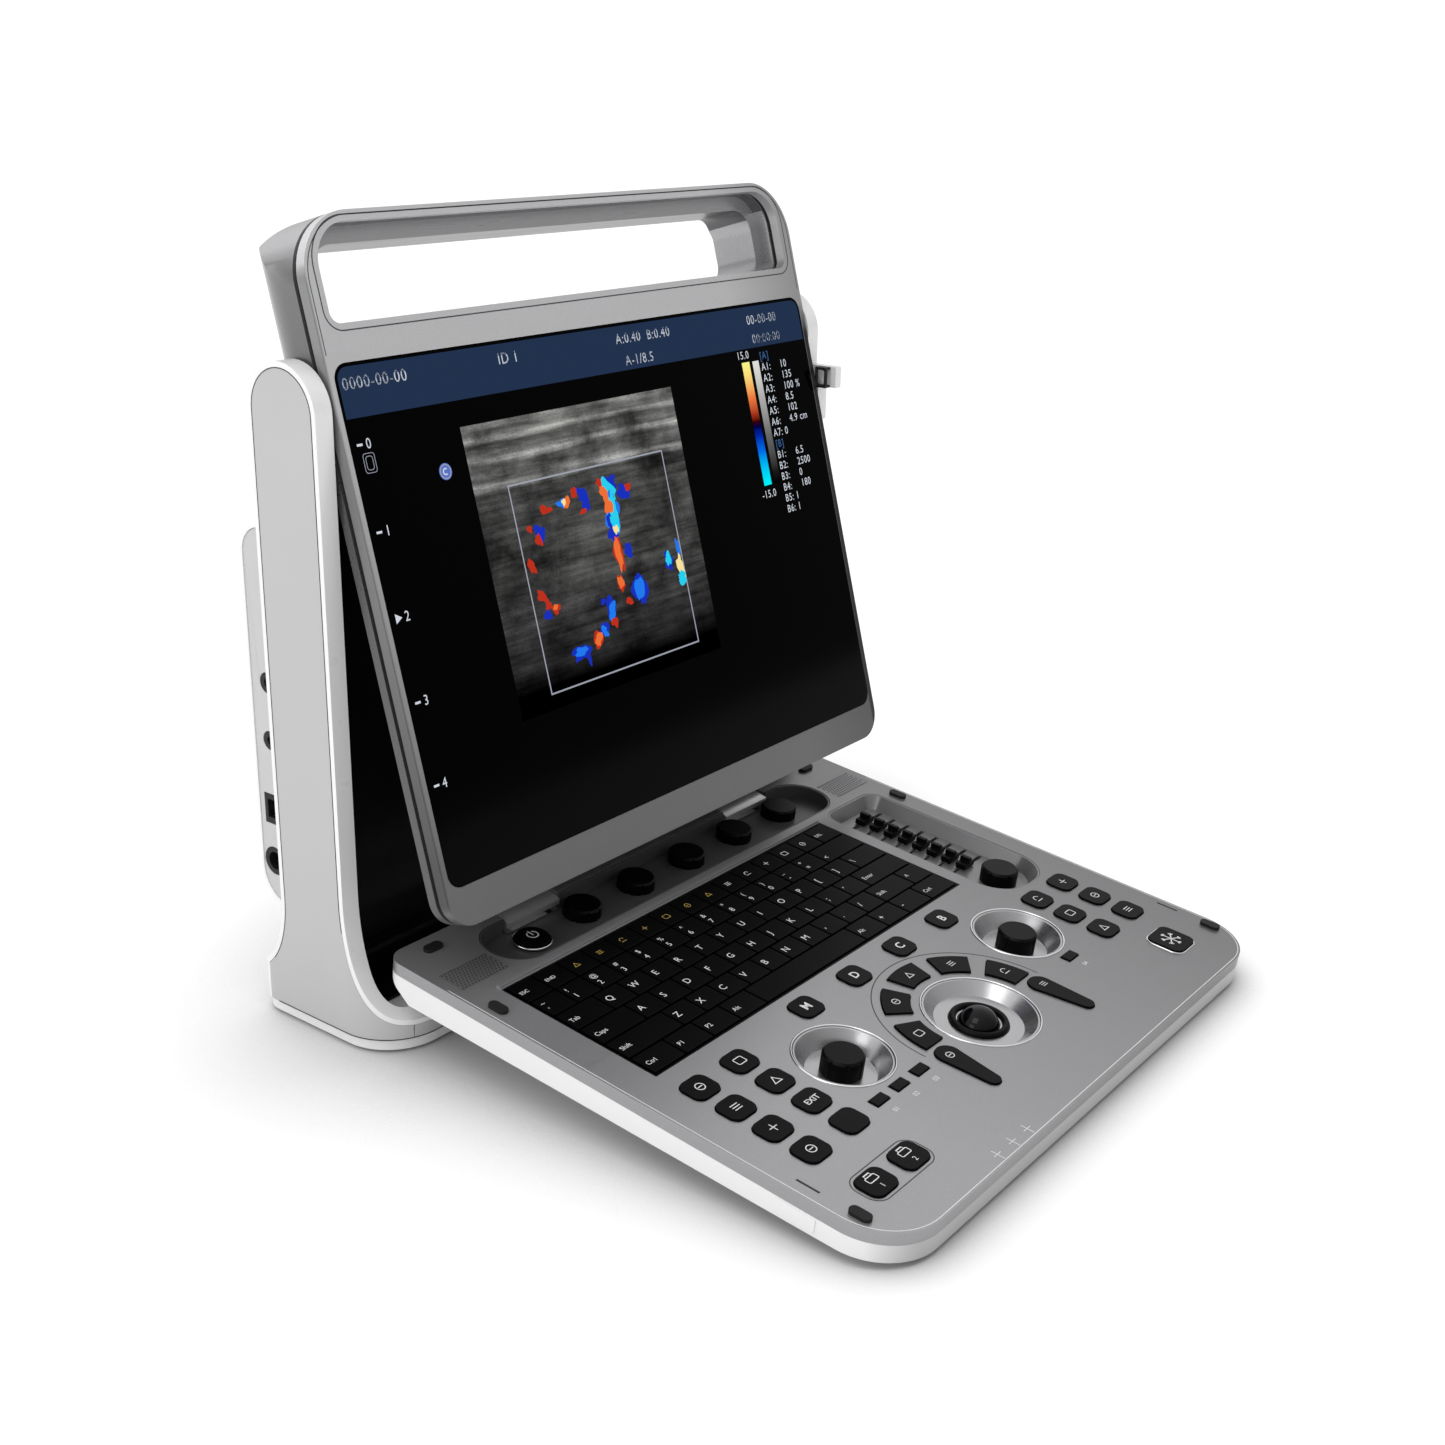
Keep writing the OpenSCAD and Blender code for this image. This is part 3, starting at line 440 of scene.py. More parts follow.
class Sheet:
    """Collects flat shapes on one face of the object into one thin piece."""

    def __init__(self, place, h, thick=0.05):
        self.place, self.h, self.thick = place, h, thick
        self.verts, self.faces, self.mat = [], [], []
        self.mats = []

    def _index(self, mat):
        if mat not in self.mats:
            self.mats.append(mat)
        return self.mats.index(mat)

    def poly(self, pts, mat, h=None):
        """A filled shape from a closed outline, with a thin edge."""
        h = self.h if h is None else h
        k, n = self._index(mat), len(pts)
        area = sum(pts[i][0] * pts[(i + 1) % n][1] - pts[(i + 1) % n][0] * pts[i][1]
                   for i in range(n))
        if area < 0:
            pts = pts[::-1]
        a = len(self.verts)
        self.verts += [self.place(x, y, h) for x, y in pts]
        self.verts += [self.place(x, y, h - self.thick) for x, y in pts]
        self.faces.append(list(range(a, a + n)))
        self.mat.append(k)
        for i in range(n):
            j = (i + 1) % n
            self.faces.append([a + j, a + i, a + n + i, a + n + j])
            self.mat.append(k)

    def band(self, pts, width, mat, closed=True, h=None):
        """A line of the given width along a path, mitred at its corners."""
        n = len(pts)
        rings = []
        for i, p in enumerate(pts):
            a = pts[i - 1] if (closed or i) else p
            b = pts[(i + 1) % n] if (closed or i < n - 1) else p
            dx, dy = b[0] - a[0], b[1] - a[1]
            d = math.hypot(dx, dy) or 1
            nx, ny = -dy / d * width / 2, dx / d * width / 2
            if closed or 0 < i < n - 1:
                e = (p[0] - a[0], p[1] - a[1])
                g = (b[0] - p[0], b[1] - p[1])
                le, lg = math.hypot(*e) or 1, math.hypot(*g) or 1
                turn = (e[0] * g[0] + e[1] * g[1]) / le / lg
                miter = 1 / max(math.sqrt((1 + turn) / 2), 0.5)
                nx, ny = nx * miter, ny * miter
            rings.append(((p[0] + nx, p[1] + ny), (p[0] - nx, p[1] - ny)))
        for i in range(n if closed else n - 1):
            p, q = rings[i], rings[(i + 1) % n]
            self.poly([p[0], p[1], q[1], q[0]], mat, h)

    def text(self, string, x, y, size, mat, align="LEFT", bold=0.0, squeeze=1.0, spacing=1.0):
        """Flat lettering with its baseline start at (x, y)."""
        k = self._index(mat)
        curve = bpy.data.curves.new("t", "FONT")
        curve.body = string
        curve.size = size
        curve.align_x = align
        curve.space_character = spacing
        curve.offset = bold
        curve.resolution_u = 3
        o = bpy.data.objects.new("t", curve)
        bpy.context.scene.collection.objects.link(o)
        depsgraph = bpy.context.evaluated_depsgraph_get()
        me = bpy.data.meshes.new_from_object(o.evaluated_get(depsgraph))
        a = len(self.verts)
        self.verts += [self.place(x + v.co.x * squeeze, y + v.co.y, self.h) for v in me.vertices]
        for p in me.polygons:
            self.faces.append([a + i for i in p.vertices])
            self.mat.append(k)
        bpy.data.objects.remove(o)
        bpy.data.curves.remove(curve)
        bpy.data.meshes.remove(me)

    def build(self, name, body, slot):
        return make(name, self.verts, self.faces, self.mats, body, self.mat)


def arc(cx, cy, r, a0, a1, n=12):
    """Points on an arc from a0 to a1 degrees."""
    return [(cx + r * math.cos(math.radians(a0 + (a1 - a0) * i / n)),
             cy + r * math.sin(math.radians(a0 + (a1 - a0) * i / n))) for i in range(n + 1)]


def rounded(x0, y0, x1, y1, r, n=6):
    """A rectangle with round corners."""
    return (arc(x1 - r, y0 + r, r, -90, 0, n) + arc(x1 - r, y1 - r, r, 0, 90, n)
            + arc(x0 + r, y1 - r, r, 90, 180, n) + arc(x0 + r, y0 + r, r, 180, 270, n))


def blob(cx, cy, rx, ry, seed, wobble, n, tilt=0.0):
    """An oval with an uneven outline."""
    rnd = random.Random(seed)
    w = [1 + wobble * (rnd.random() - 0.5) * 2 for _ in range(n)]
    w = [(w[i - 1] + w[i] + w[(i + 1) % n]) / 3 for i in range(n)]
    c, s = math.cos(tilt), math.sin(tilt)
    pts = []
    for i in range(n):
        t = 2 * math.pi * i / n
        x, y = rx * w[i] * math.cos(t), ry * w[i] * math.sin(t)
        pts.append((cx + c * x - s * y, cy + s * x + c * y))
    return pts


# ---------------------------------------------------------------- display

IMAGE_LEFT, IMAGE_RIGHT, IMAGE_BOTTOM, IMAGE_TOP = -98.6, 43.8, 58, 188.6
BAR_TOP, BAR_BOTTOM = 193.4, 130
FADE_DEPTH = 0.125 * math.cos(LEAN)


def tissue():
    """Grey speckle image with layered bands near the top and a fade towards the bottom."""
    m = lit("tissue")
    depth = m.add("ShaderNodeMath", operation="SUBTRACT")
    depth.inputs[0].default_value = on_screen(0, IMAGE_TOP).z
    m.link(m.axes()["Z"], depth.inputs[1])
    unit = m.add("ShaderNodeMath", operation="DIVIDE")
    m.link(depth.outputs[0], unit.inputs[0])
    unit.inputs[1].default_value = FADE_DEPTH
    # The layers bend a little, so the depth is shifted by a soft noise first
    wavy = m.add("ShaderNodeMath", operation="MULTIPLY_ADD")
    m.link(m.noise(14, 2, (0.7, 1, 1)), wavy.inputs[0])
    wavy.inputs[1].default_value = 0.07
    m.link(unit.outputs[0], wavy.inputs[2])
    out = m.ramp(wavy.outputs[0], [
        (0.03, (0.17, 0.17, 0.165)), (0.07, (0.10, 0.10, 0.095)), (0.09, (0.26, 0.26, 0.25)),
        (0.11, (0.07, 0.07, 0.068)), (0.15, (0.14, 0.14, 0.135)), (0.17, (0.28, 0.28, 0.27)),
        (0.19, (0.08, 0.08, 0.078)), (0.245, (0.12, 0.12, 0.118)), (0.26, (0.27, 0.27, 0.265)),
        (0.285, (0.055, 0.055, 0.054)), (0.45, (0.045, 0.045, 0.044)), (0.62, (0.05, 0.05, 0.049)),
        (0.8, (0.032, 0.032, 0.032)), (0.95, (0.01, 0.01, 0.01)), (1.0, (0.0, 0.0, 0.0))])
    speck = m.noise(1500, 3, (1, 1.6, 1.6), 0.7)
    clouds = m.noise(34, 5, (1, 1, 1.3), 0.62)
    streaks = m.noise(260, 3, (0.10, 1.3, 1.3), 0.6)
    layers = (m.ramp(speck, [(0.25, (0.5, 0.5, 0.5)), (0.75, (1.55, 1.55, 1.55))]),
              m.ramp(clouds, [(0.36, (0.3, 0.3, 0.3)), (0.66, (1.7, 1.7, 1.7))]),
              m.ramp(streaks, [(0.3, (0.45, 0.45, 0.45)), (0.72, (1.6, 1.6, 1.6))]))
    for layer in layers:
        mix = m.add("ShaderNodeMix", data_type="RGBA", blend_type="MULTIPLY")
        mix.inputs["Factor"].default_value = 1.0
        m.link(out, mix.inputs["A"])
        m.link(layer, mix.inputs["B"])
        out = mix.outputs["Result"]
    m.drive("Emission Color", out)
    return m.mat


def bar(name, stops):
    """A bar whose colour runs from its top to its bottom."""
    m = lit(name)
    down = m.map_range(m.axes()["Z"], on_screen(0, BAR_TOP).z, on_screen(0, BAR_BOTTOM).z)
    m.drive("Emission Color", m.ramp(down, stops))
    return m.mat


def add_colour_flow(sheet):
    """Patches of moving blood: x, y, half width, half height, colour and tilt."""
    red = glow("flow_red", (0.50, 0.03, 0.012))
    orange = glow("flow_orange", (0.85, 0.16, 0.035))
    blue = glow("flow_blue", (0.01, 0.03, 0.50))
    azure = glow("flow_azure", (0.015, 0.19, 0.85))
    cyan = glow("flow_cyan", (0.02, 0.62, 0.85))
    cream = glow("flow_cream", (0.95, 0.75, 0.32))
    flow = [
        (-47, 146.6, 3.4, 2.0, azure, 0), (-44.2, 146.4, 2.8, 2.6, orange, 0.3),
        (-45.4, 147.0, 1.4, 1.6, cream, 0), (-33, 147.5, 3.0, 5.0, blue, 0.2),
        (-31.5, 143.4, 2.8, 3.0, blue, 0.8), (-38.2, 150.4, 2.0, 2.2, red, 0),
        (-34, 140.6, 2.4, 1.2, red, 0.2), (-19.5, 151.5, 2.4, 2.2, red, 0.2),
        (-13.0, 150.5, 4.2, 4.6, blue, 0.2), (-14.6, 148.0, 3.0, 5.6, cyan, 0.5),
        (-18.4, 147.0, 2.0, 4.2, orange, 0.6), (-4.8, 145.6, 4.0, 4.0, blue, -0.5),
        (-1.2, 146.5, 2.0, 2.0, red, 0), (-14.8, 136.5, 5.2, 9.0, azure, -0.1),
        (-14.2, 138.4, 2.8, 7.6, cyan, -0.1), (-17.0, 141.5, 2.6, 4.2, orange, 0.1),
        (-17.8, 133, 2.0, 4.0, blue, 0), (-15.0, 132.0, 2.6, 4.6, cyan, 0.1),
        (-17.4, 126.6, 3.4, 3.4, blue, 0.2), (-15.0, 128.6, 1.8, 2.0, cream, 0.1),
        (-16.3, 116.4, 2.8, 8.6, red, 0.04), (-16.3, 116.8, 1.9, 7.4, orange, 0.04),
        (-9.2, 117.4, 2.6, 3.2, blue, 0.2), (-19.0, 103.8, 3.2, 4.2, red, 0.1),
        (-19.2, 104.2, 2.2, 3.0, orange, 0.1), (-6.9, 98.6, 5.0, 7.4, blue, 0.05),
        (-6.7, 99.0, 3.6, 6.0, azure, 0.05), (-15.2, 94.6, 2.2, 1.8, red, 0),
        (17.4, 107.8, 3.0, 4.6, blue, 0.1), (17.4, 108.0, 1.9, 3.4, cyan, 0.1),
        (25.8, 112.5, 1.3, 4.2, azure, 0), (25.3, 103.0, 2.5, 6.2, cream, 0.05),
        (25.0, 97.6, 2.7, 2.8, cyan, 0.1), (-29.4, 92.6, 3.2, 5.8, blue, -0.3),
        (-28.8, 93.0, 2.2, 4.4, azure, -0.3), (-28.2, 87.2, 2.2, 2.6, red, 0),
        (-35.6, 86.0, 2.8, 3.0, blue, 0.3), (-36.2, 84.6, 2.0, 2.4, azure, 0.3),
        (-41.2, 81.2, 3.0, 4.4, red, -0.5), (-41.4, 81.4, 2.0, 3.4, orange, -0.5),
        (-53.2, 79.0, 6.0, 3.4, blue, 0.15), (-53.6, 79.2, 4.4, 2.2, azure, 0.15),
        (-50.0, 74.8, 1.4, 3.0, blue, 0.3), (-64.4, 136.2, 2.8, 4.2, blue, 0.5),
        (-66.4, 133.2, 1.8, 3.0, red, 0.4), (-58.6, 145.4, 3.4, 2.0, red, 0),
        (-70.5, 139.0, 1.6, 1.6, red, 0), (-74.0, 122.4, 2.2, 3.2, red, 0.2),
        (-71.8, 108.6, 2.0, 3.6, red, 0.7), (-68.6, 104.4, 2.4, 2.6, red, 0.4),
        (-64.2, 101.6, 2.6, 2.2, red, 0.3), (-64.6, 102.0, 1.4, 1.3, orange, 0.3),
        (-70.4, 99.6, 2.2, 2.0, blue, 0.2), (-33.2, 98.0, 1.6, 1.2, blue, 0.1),
    ]
    for i, (x, y, rx, ry, mat, tilt) in enumerate(flow):
        sheet.poly(blob(x, y, rx, ry, 100 + i, 0.62, 26, tilt), mat, 0.16 + 0.004 * i)


def add_depth_scale(sheet, white, soft):
    """Ticks with numbers down the left side, and a small probe mark."""
    for i in range(5):
        v = 189.2 - 36 * i
        if i == 2:
            sheet.poly([(-156.6, v - 2.1), (-153, v), (-156.6, v + 2.1)], white)
        else:
            sheet.poly([(-156.4, v - 0.5), (-153.4, v - 0.5), (-153.4, v + 0.5), (-156.4, v + 0.5)], white)
        sheet.text(str(i), -151.6, v - 2.0, 6.2, white, squeeze=0.9)
    for r in (0.0, 1.2):
        sheet.band(rounded(-154.6 + r, 177.4 + r, -148.6 - r, 185.4 - r, 1.2), 0.25, soft)


def add_bars(sheet):
    """The colour bar and the grey bar beside it."""
    colour_stops = [
        (0.0, (0.95, 0.9, 0.25)), (0.1, (0.95, 0.72, 0.2)), (0.28, (0.85, 0.2, 0.05)),
        (0.42, (0.35, 0.03, 0.01)), (0.48, (0.03, 0.0, 0.0)), (0.52, (0.0, 0.0, 0.05)),
        (0.6, (0.0, 0.02, 0.4)), (0.72, (0.0, 0.14, 0.8)), (0.86, (0.0, 0.55, 0.9)),
        (1.0, (0.0, 0.9, 0.95))]
    grey_stops = [
        (0.0, (0.75, 0.75, 0.72)), (0.3, (0.42, 0.42, 0.41)), (0.6, (0.14, 0.14, 0.14)),
        (0.9, (0.01, 0.01, 0.01)), (1.0, (0, 0, 0))]
    sheet.poly([(102.7, BAR_BOTTOM), (109, BAR_BOTTOM), (109, BAR_TOP), (102.7, BAR_TOP)],
               bar("colour_bar", colour_stops))
    sheet.poly([(111.6, BAR_BOTTOM), (116.8, BAR_BOTTOM), (116.8, BAR_TOP - 0.2), (111.6, BAR_TOP - 0.2)],
               bar("grey_bar", grey_stops))


def add_words(sheet, white):
    """Plain numbers and short labels."""
    label = glow("lit_label", (0.05, 0.12, 0.28))

    def words(string, x, y, size, mat=white):
        sheet.text(string, x, y, size, mat, squeeze=0.94, spacing=1.12)

    words("0000-00-00", -157, 211.6, 7.2)
    words("ID 1", -68, 212.0, 7.0)
    words("A:0.40  B:0.40", 11, 212.6, 6.6)
    words("A-1/8.5", 15, 202.2, 6.6)
    words("00-00-00", 113, 211.8, 6.6)
    words("00:00:00", 115, 202.0, 6.6)
    words("15.0", 99.6, 195.2, 5.6)
    words("-15.0", 99.4, 123.6, 5.6)
    rows = [("[A]", "", 1), ("A1:", "10", 0), ("A2:", "135", 0), ("A3:", "100 %", 0), ("A4:", "8.5", 0),
            ("A5:", "102", 0), ("A6:", "4.9 cm", 0), ("A7: 0", "", 0), ("[B]", "", 1), ("B1:", "6.5", 0),
            ("B2:", "2500", 0), ("B3:", "0", 0), ("B4:", "180", 0), ("B5: 1", "", 0), ("B6: 1", "", 0)]
    for i, (a, b, head) in enumerate(rows):
        v = BAR_TOP - 5.72 * i
        words(a, 118.4, v, 5.6, label if head else white)
        words(b, 134.4, v, 5.6)


def build_display():
    """The lit picture, bars and lettering just above the glass."""
    white = glow("lit_white", (0.62, 0.66, 0.72))
    soft = glow("lit_soft", (0.34, 0.36, 0.42))
    sheet = Sheet(on_screen, 0.06, 0.04)
    sheet.poly([(-158.6, 200), (158.6, 200)] + arc(153.2, 215.4, 5.4, 0, 90, 8)
               + arc(-153.2, 215.4, 5.4, 90, 180, 8), glow("lit_navy", (0.016, 0.032, 0.075)))
    sheet.poly([(IMAGE_LEFT, IMAGE_TOP), (IMAGE_LEFT, IMAGE_BOTTOM), (IMAGE_RIGHT, IMAGE_BOTTOM),
                (IMAGE_RIGHT, IMAGE_TOP)], tissue())
    # Region of interest
    sheet.band([(-77.9, 159.6), (-77.9, 65.1), (27.9, 65.1), (27.9, 159.6)], 0.7, soft, h=0.12)
    add_colour_flow(sheet)
    # Orientation mark
    mark = (-112.1, 171.6)
    sheet.poly(blob(*mark, 3.6, 3.6, 1, 0, 28), glow("lit_mark", (0.10, 0.17, 0.55)))
    sheet.band(blob(*mark, 3.0, 3.0, 1, 0, 28), 0.45, soft, h=0.1)
    sheet.band(arc(*mark, 1.3, 50, 310, 12), 0.6, white, False, 0.1)
    add_depth_scale(sheet, white, soft)
    add_bars(sheet)
    add_words(sheet, white)
    sheet.build("display_image", "screen", "screen_glass")


build_display()


def build_frame_lines():
    """Fine dark lines beside the handle's opening and inside the frame's outer edge."""
    sheet = Sheet(on_screen, 0.05, 0.04)
    inner = (arc(-149.5, 243.5, 8.5, 270, 180, 10) + arc(-138, 260.5, 20, 180, 90, 14)
             + arc(138, 260.5, 20, 90, 0, 14) + arc(149.5, 243.5, 8.5, 0, -90, 10))
    sheet.band(inner, 0.55, LOOK["line"])
    outer = ([(-161.6, 226)] + arc(-135.5, 254.5, 26.1, 180, 90, 16)
             + arc(135.5, 254.5, 26.1, 90, 0, 16) + [(161.6, 226)])
    sheet.band(outer, 0.4, LOOK["line"], False)
    sheet.build("frame_lines", "screen", "groove_grey")


build_frame_lines()

# ---------------------------------------------------------------- places on the console's face

# The keyboard's edges: x right and s towards the user, in mm
KB_X0, KB_X1, KB_S0, KB_S1 = -145.2, 95.4, 44.7, 132.5
# Centres of controls for flat drawings: x right and y away from the user, in mm
POWER = (-98, -19)
FREEZE = (127.5, -234)
BALL = (0, -201)
DIAL_X, DIAL_Y = 74.9, -177.5
PRINT_X, PRINT_Y = (-136.5, -113.4), -235
MODE_Y = -147.2
FKEY_X = (111.8, 138.4)
FKEY_Y, FKEY_PITCH = -150, 18.55
ARC_KEY_R = 38.5

# ---------------------------------------------------------------- keyboard legends


def row_places(row, widths):
    """Where each key's legend starts, in flat console places."""
    unit = (KB_X1 - KB_X0 - 3) / sum(widths)
    pitch = (KB_S1 - KB_S0 - 3) / 6
    x = KB_X0 + 1.5
    for w in widths:
        yield x + 2.2, -(KB_S0 + 1.5 + pitch * row)
        x += w * unit


# Each row of keys: their widths, what is printed on them, and how
ROWS = [
    ([1] * 15, ["icon"] * 15, "top"),
    ([1] * 13 + [2], list("`1234567890-=") + ["<"], "pair"),
    ([1.5] + [1] * 12 + [1.5], ["Tab"] + list("QWERTYUIOP[]") + ["\\"], "one"),
    ([1.8] + [1] * 11 + [2.2], ["Caps"] + list("ASDFGHJKL;'") + ["Enter"], "one"),
    ([2.3] + [1] * 10 + [1.7, 1], ["Shift"] + list("ZXCVBNM,./") + ["Shift", "^"], "one"),
    ([1.3, 1.2, 1.2, 1.2, 5, 1.2, 1.2, 1.3, 1.4], ["Ctrl", "P1", "P2", "Alt", "", "Alt", "+", "-", "Ctrl"],
     "one"),
]
UPPER = dict(zip("`1234567890-=", "~!@#$%^&*()_+"))
TOP_WORDS = {0: "ESC", 1: "END", 14: "DEL"}


def little_icon(sheet, x, y, k, mat, z=1.0):
    """A small generic pictogram of size z, one of several simple shapes."""
    kind = k % 6
    if kind == 0:
        sheet.band(rounded(x - 2.2 * z, y - 1.8 * z, x + 2.2 * z, y + 1.8 * z, 0.6 * z, 3), 0.4 * z, mat)
    elif kind == 1:
        sheet.band(arc(x, y, 1.9 * z, 0, 360, 16)[:-1], 0.4 * z, mat)
        sheet.band([(x - 1.2 * z, y), (x + 1.2 * z, y)], 0.4 * z, mat, False)
    elif kind == 2:
        sheet.band([(x - 2 * z, y - 1.6 * z), (x, y + 1.9 * z), (x + 2 * z, y - 1.6 * z)], 0.4 * z, mat)
    elif kind == 3:
        for j in (-1.3, 0, 1.3):
            sheet.band([(x - 2 * z, y + j * z), (x + 2 * z, y + j * z)], 0.4 * z, mat, False)
    elif kind == 4:
        sheet.band(arc(x, y + 0.2 * z, 1.8 * z, 20, 200, 10), 0.4 * z, mat, False)
        sheet.band([(x - 2 * z, y - 1.5 * z), (x + 2 * z, y - 1.5 * z)], 0.4 * z, mat, False)
    else:
        sheet.band([(x, y - 2 * z), (x, y + 2 * z)], 0.4 * z, mat, False)
        sheet.band([(x - 2 * z, y), (x + 2 * z, y)], 0.4 * z, mat, False)


def build_key_legends():
    """Letters, numbers and small icons on the keyboard, one piece for each row."""
    for r, (widths, marks, style) in enumerate(ROWS):
        sheet = Sheet(console_flat, 0.24, 0.03)
        for i, ((x, y), mark) in enumerate(zip(row_places(r, widths), marks)):
            if style == "top":
                if i in TOP_WORDS:
                    sheet.text(TOP_WORDS[i], x - 0.6, y - 8, 3.0, LOOK["legend"])
                else:
                    mat = LOOK["legend_yellow"] if i < 9 else LOOK["legend"]
                    little_icon(sheet, x + 3.6, y - 7, i, mat, 0.8)
            elif style == "pair":
                sheet.text(UPPER.get(mark, ""), x, y - 5.6, 4.0, LOOK["legend"])
                sheet.text(mark, x, y - 11.2, 4.6, LOOK["legend"])
            elif mark:
                size = 3.6 if len(mark) > 1 else 5.2
                sheet.text(mark, x, y - 8.6, size, LOOK["legend"])
        sheet.build("legends_row_%d" % (r + 1), "key_row_%d" % (r + 1), "key_black")


build_key_legends()

# ---------------------------------------------------------------- console keys' legends

def legend_sheet(h=1.05):
    return Sheet(console_flat, h, 0.03)


def build_control_legends():
    """Letters and icons on the keys round the dials and the trackball."""
    # Mode keys
    sheet = legend_sheet()
    for x, letter in zip((-57, -19, 19, 57), "MDCB"):
        sheet.text(letter, x, MODE_Y, 6.4, LOOK["legend"], "CENTER", bold=0.12)
    sheet.build("legends_mode", "mode_keys", "key_black")
    # Function keys at both sides
    sheet = legend_sheet()
    k = 0
    for i in range(4):
        y = FKEY_Y - FKEY_PITCH * i
        for x in FKEY_X:
            if i == 2 and x == FKEY_X[0]:
                sheet.text("EXIT", -x, y - 1.4, 4.2, LOOK["legend"], "CENTER", bold=0.06)
            elif not (i == 3 and x == FKEY_X[0]):
                little_icon(sheet, -x, y, k, LOOK["legend"], 1.15)
            k += 1
    for i in range(1, 4):
        for x in FKEY_X:
            little_icon(sheet, x, FKEY_Y + 0.5 - FKEY_PITCH * i, k + 2, LOOK["legend"], 1.1)
            k += 1
    sheet.build("legends_function", "function_keys", "key_black")
    # Keys in an arc round the trackball
    sheet = legend_sheet()
    for k, a in enumerate((-76, -38, 0, 38, 76)):
        t = math.radians(a)
        little_icon(sheet, ARC_KEY_R * math.sin(t), BALL[1] + ARC_KEY_R * math.cos(t), k, LOOK["legend"])
    little_icon(sheet, -41.5, -210, 1, LOOK["legend"])
    little_icon(sheet, 41.5, -210, 3, LOOK["legend"], 0.9)
    sheet.build("legends_arc", "arc_keys", "key_black")
    # Print keys
    sheet = legend_sheet()
    for number, x in zip("12", PRINT_X):
        sheet.band(rounded(x - 3, PRINT_Y + 0.6, x + 3, PRINT_Y + 3.6, 0.6, 3), 0.45, LOOK["legend"])
        sheet.band([(x - 1.8, PRINT_Y + 3.8), (x - 1.8, PRINT_Y + 5),
                    (x + 1.8, PRINT_Y + 5), (x + 1.8, PRINT_Y + 3.8)], 0.45, LOOK["legend"], False)
        sheet.text(number, x, PRINT_Y - 4.2, 3.6, LOOK["legend"], "CENTER")
    sheet.build("legends_print", "print_keys", "key_black")
    # Star on the freeze key
    sheet = legend_sheet(1.25)
    cx, cy = FREEZE
    for j in range(6):
        t = math.radians(60 * j + 30)
        tip = (cx + 5.4 * math.cos(t), cy + 5.4 * math.sin(t))
        sheet.band([(cx, cy), tip], 0.6, LOOK["legend"], False)
        for e in (-0.6, 0.6):
            b = (cx + 3.4 * math.cos(t), cy + 3.4 * math.sin(t))
            end = (b[0] + 2 * math.cos(t + e), b[1] + 2 * math.sin(t + e))
            sheet.band([b, end], 0.5, LOOK["legend"], False)
    sheet.build("legends_freeze", "freeze_key", "key_black")
    # Power mark
    sheet = Sheet(console_flat, -2.85, 0.03)
    sheet.band(arc(*POWER, 2.7, 120, 420, 16), 0.6, LOOK["legend"], False)
    sheet.band([(POWER[0], POWER[1] - 0.6), (POWER[0], POWER[1] + 3.4)], 0.6, LOOK["legend"], False)
    sheet.build("legends_power", "power_button", "key_black")


build_control_legends()

# ---------------------------------------------------------------- console face details


def tube(name, paths, r, mat, body, closed=True, sides=8):
    """Round trim along each path of points."""
    verts, faces = [], []
    for path in paths:
        n, base = len(path), len(verts)
        for i in range(n):
            a = path[i - 1] if (closed or i) else path[i]
            b = path[(i + 1) % n] if (closed or i < n - 1) else path[i]
            along = (b - a).normalized()
            ref = Vector((0, 0, 1)) if abs(along.z) < 0.9 else Vector((0, 1, 0))
            x = along.cross(ref).normalized()
            y = along.cross(x)
            for k in range(sides):
                angle = 2 * math.pi * k / sides
                verts.append(path[i] + r * (math.cos(angle) * x + math.sin(angle) * y))
        for i in range(n if closed else n - 1):
            j = (i + 1) % n
            for k in range(sides):
                m = (k + 1) % sides
                faces.append([base + i * sides + k, base + i * sides + m,
                              base + j * sides + m, base + j * sides + k])
        if not closed:
            faces.append([base + k for k in range(sides)])
            faces.append([base + (n - 1) * sides + k for k in reversed(range(sides))])
    o = make(name, verts, faces, [mat], body)
    for p in o.data.polygons:
        p.use_smooth = True


def on_path(pts, h):
    return [console_flat(x, y, h) for x, y in pts]


def build_console_marks():
    """Fine engraved lines, printed marks and a painted highlight along the edge on the top face."""
    sheet = Sheet(console_flat, 0.04, 0.03)
    sheet.band(rounded(-146.4, -243.6, -103.5, -226.4, 6.5, 8), 0.5, LOOK["line"])
    outer = [(BALL[0] + 49.4 * math.sin(math.radians(a)), BALL[1] + 49.4 * math.cos(math.radians(a)))
             for a in range(-92, 93, 4)]
    sheet.band(outer, 0.5, LOOK["line"], False)
    for i, x in enumerate((-90.4, -75.2, -59.7, 75)):
        sheet.text("0%d" % (i + 1), x, -215.5, 3.4, LOOK["mark"], "CENTER")
    for x in (-86, -74, -62):
        sheet.band([(x, -256.5), (x, -263)], 0.35, LOOK["mark"], False)
        sheet.band([(x - 2.6, -259.4), (x + 2.6, -259.4)], 0.3, LOOK["mark"], False)
    # Painted highlight: a bright hairline just inside the edge, in the pale mark colour.
    edge = ([(-162.6, -30)] + arc(-135.7, -236.6, 26.9, 180, 270, 14)
            + arc(135.7, -236.6, 26.9, 270, 360, 14) + [(162.6, -30)])
    sheet.band(edge, 0.35, LOOK["mark"], False)
    sheet.build("console_marks", "console", "silver_paint")


build_console_marks()


def ring(center, r, h):
    return on_path(arc(*center, r, 0, 360, 48)[:-1], h)


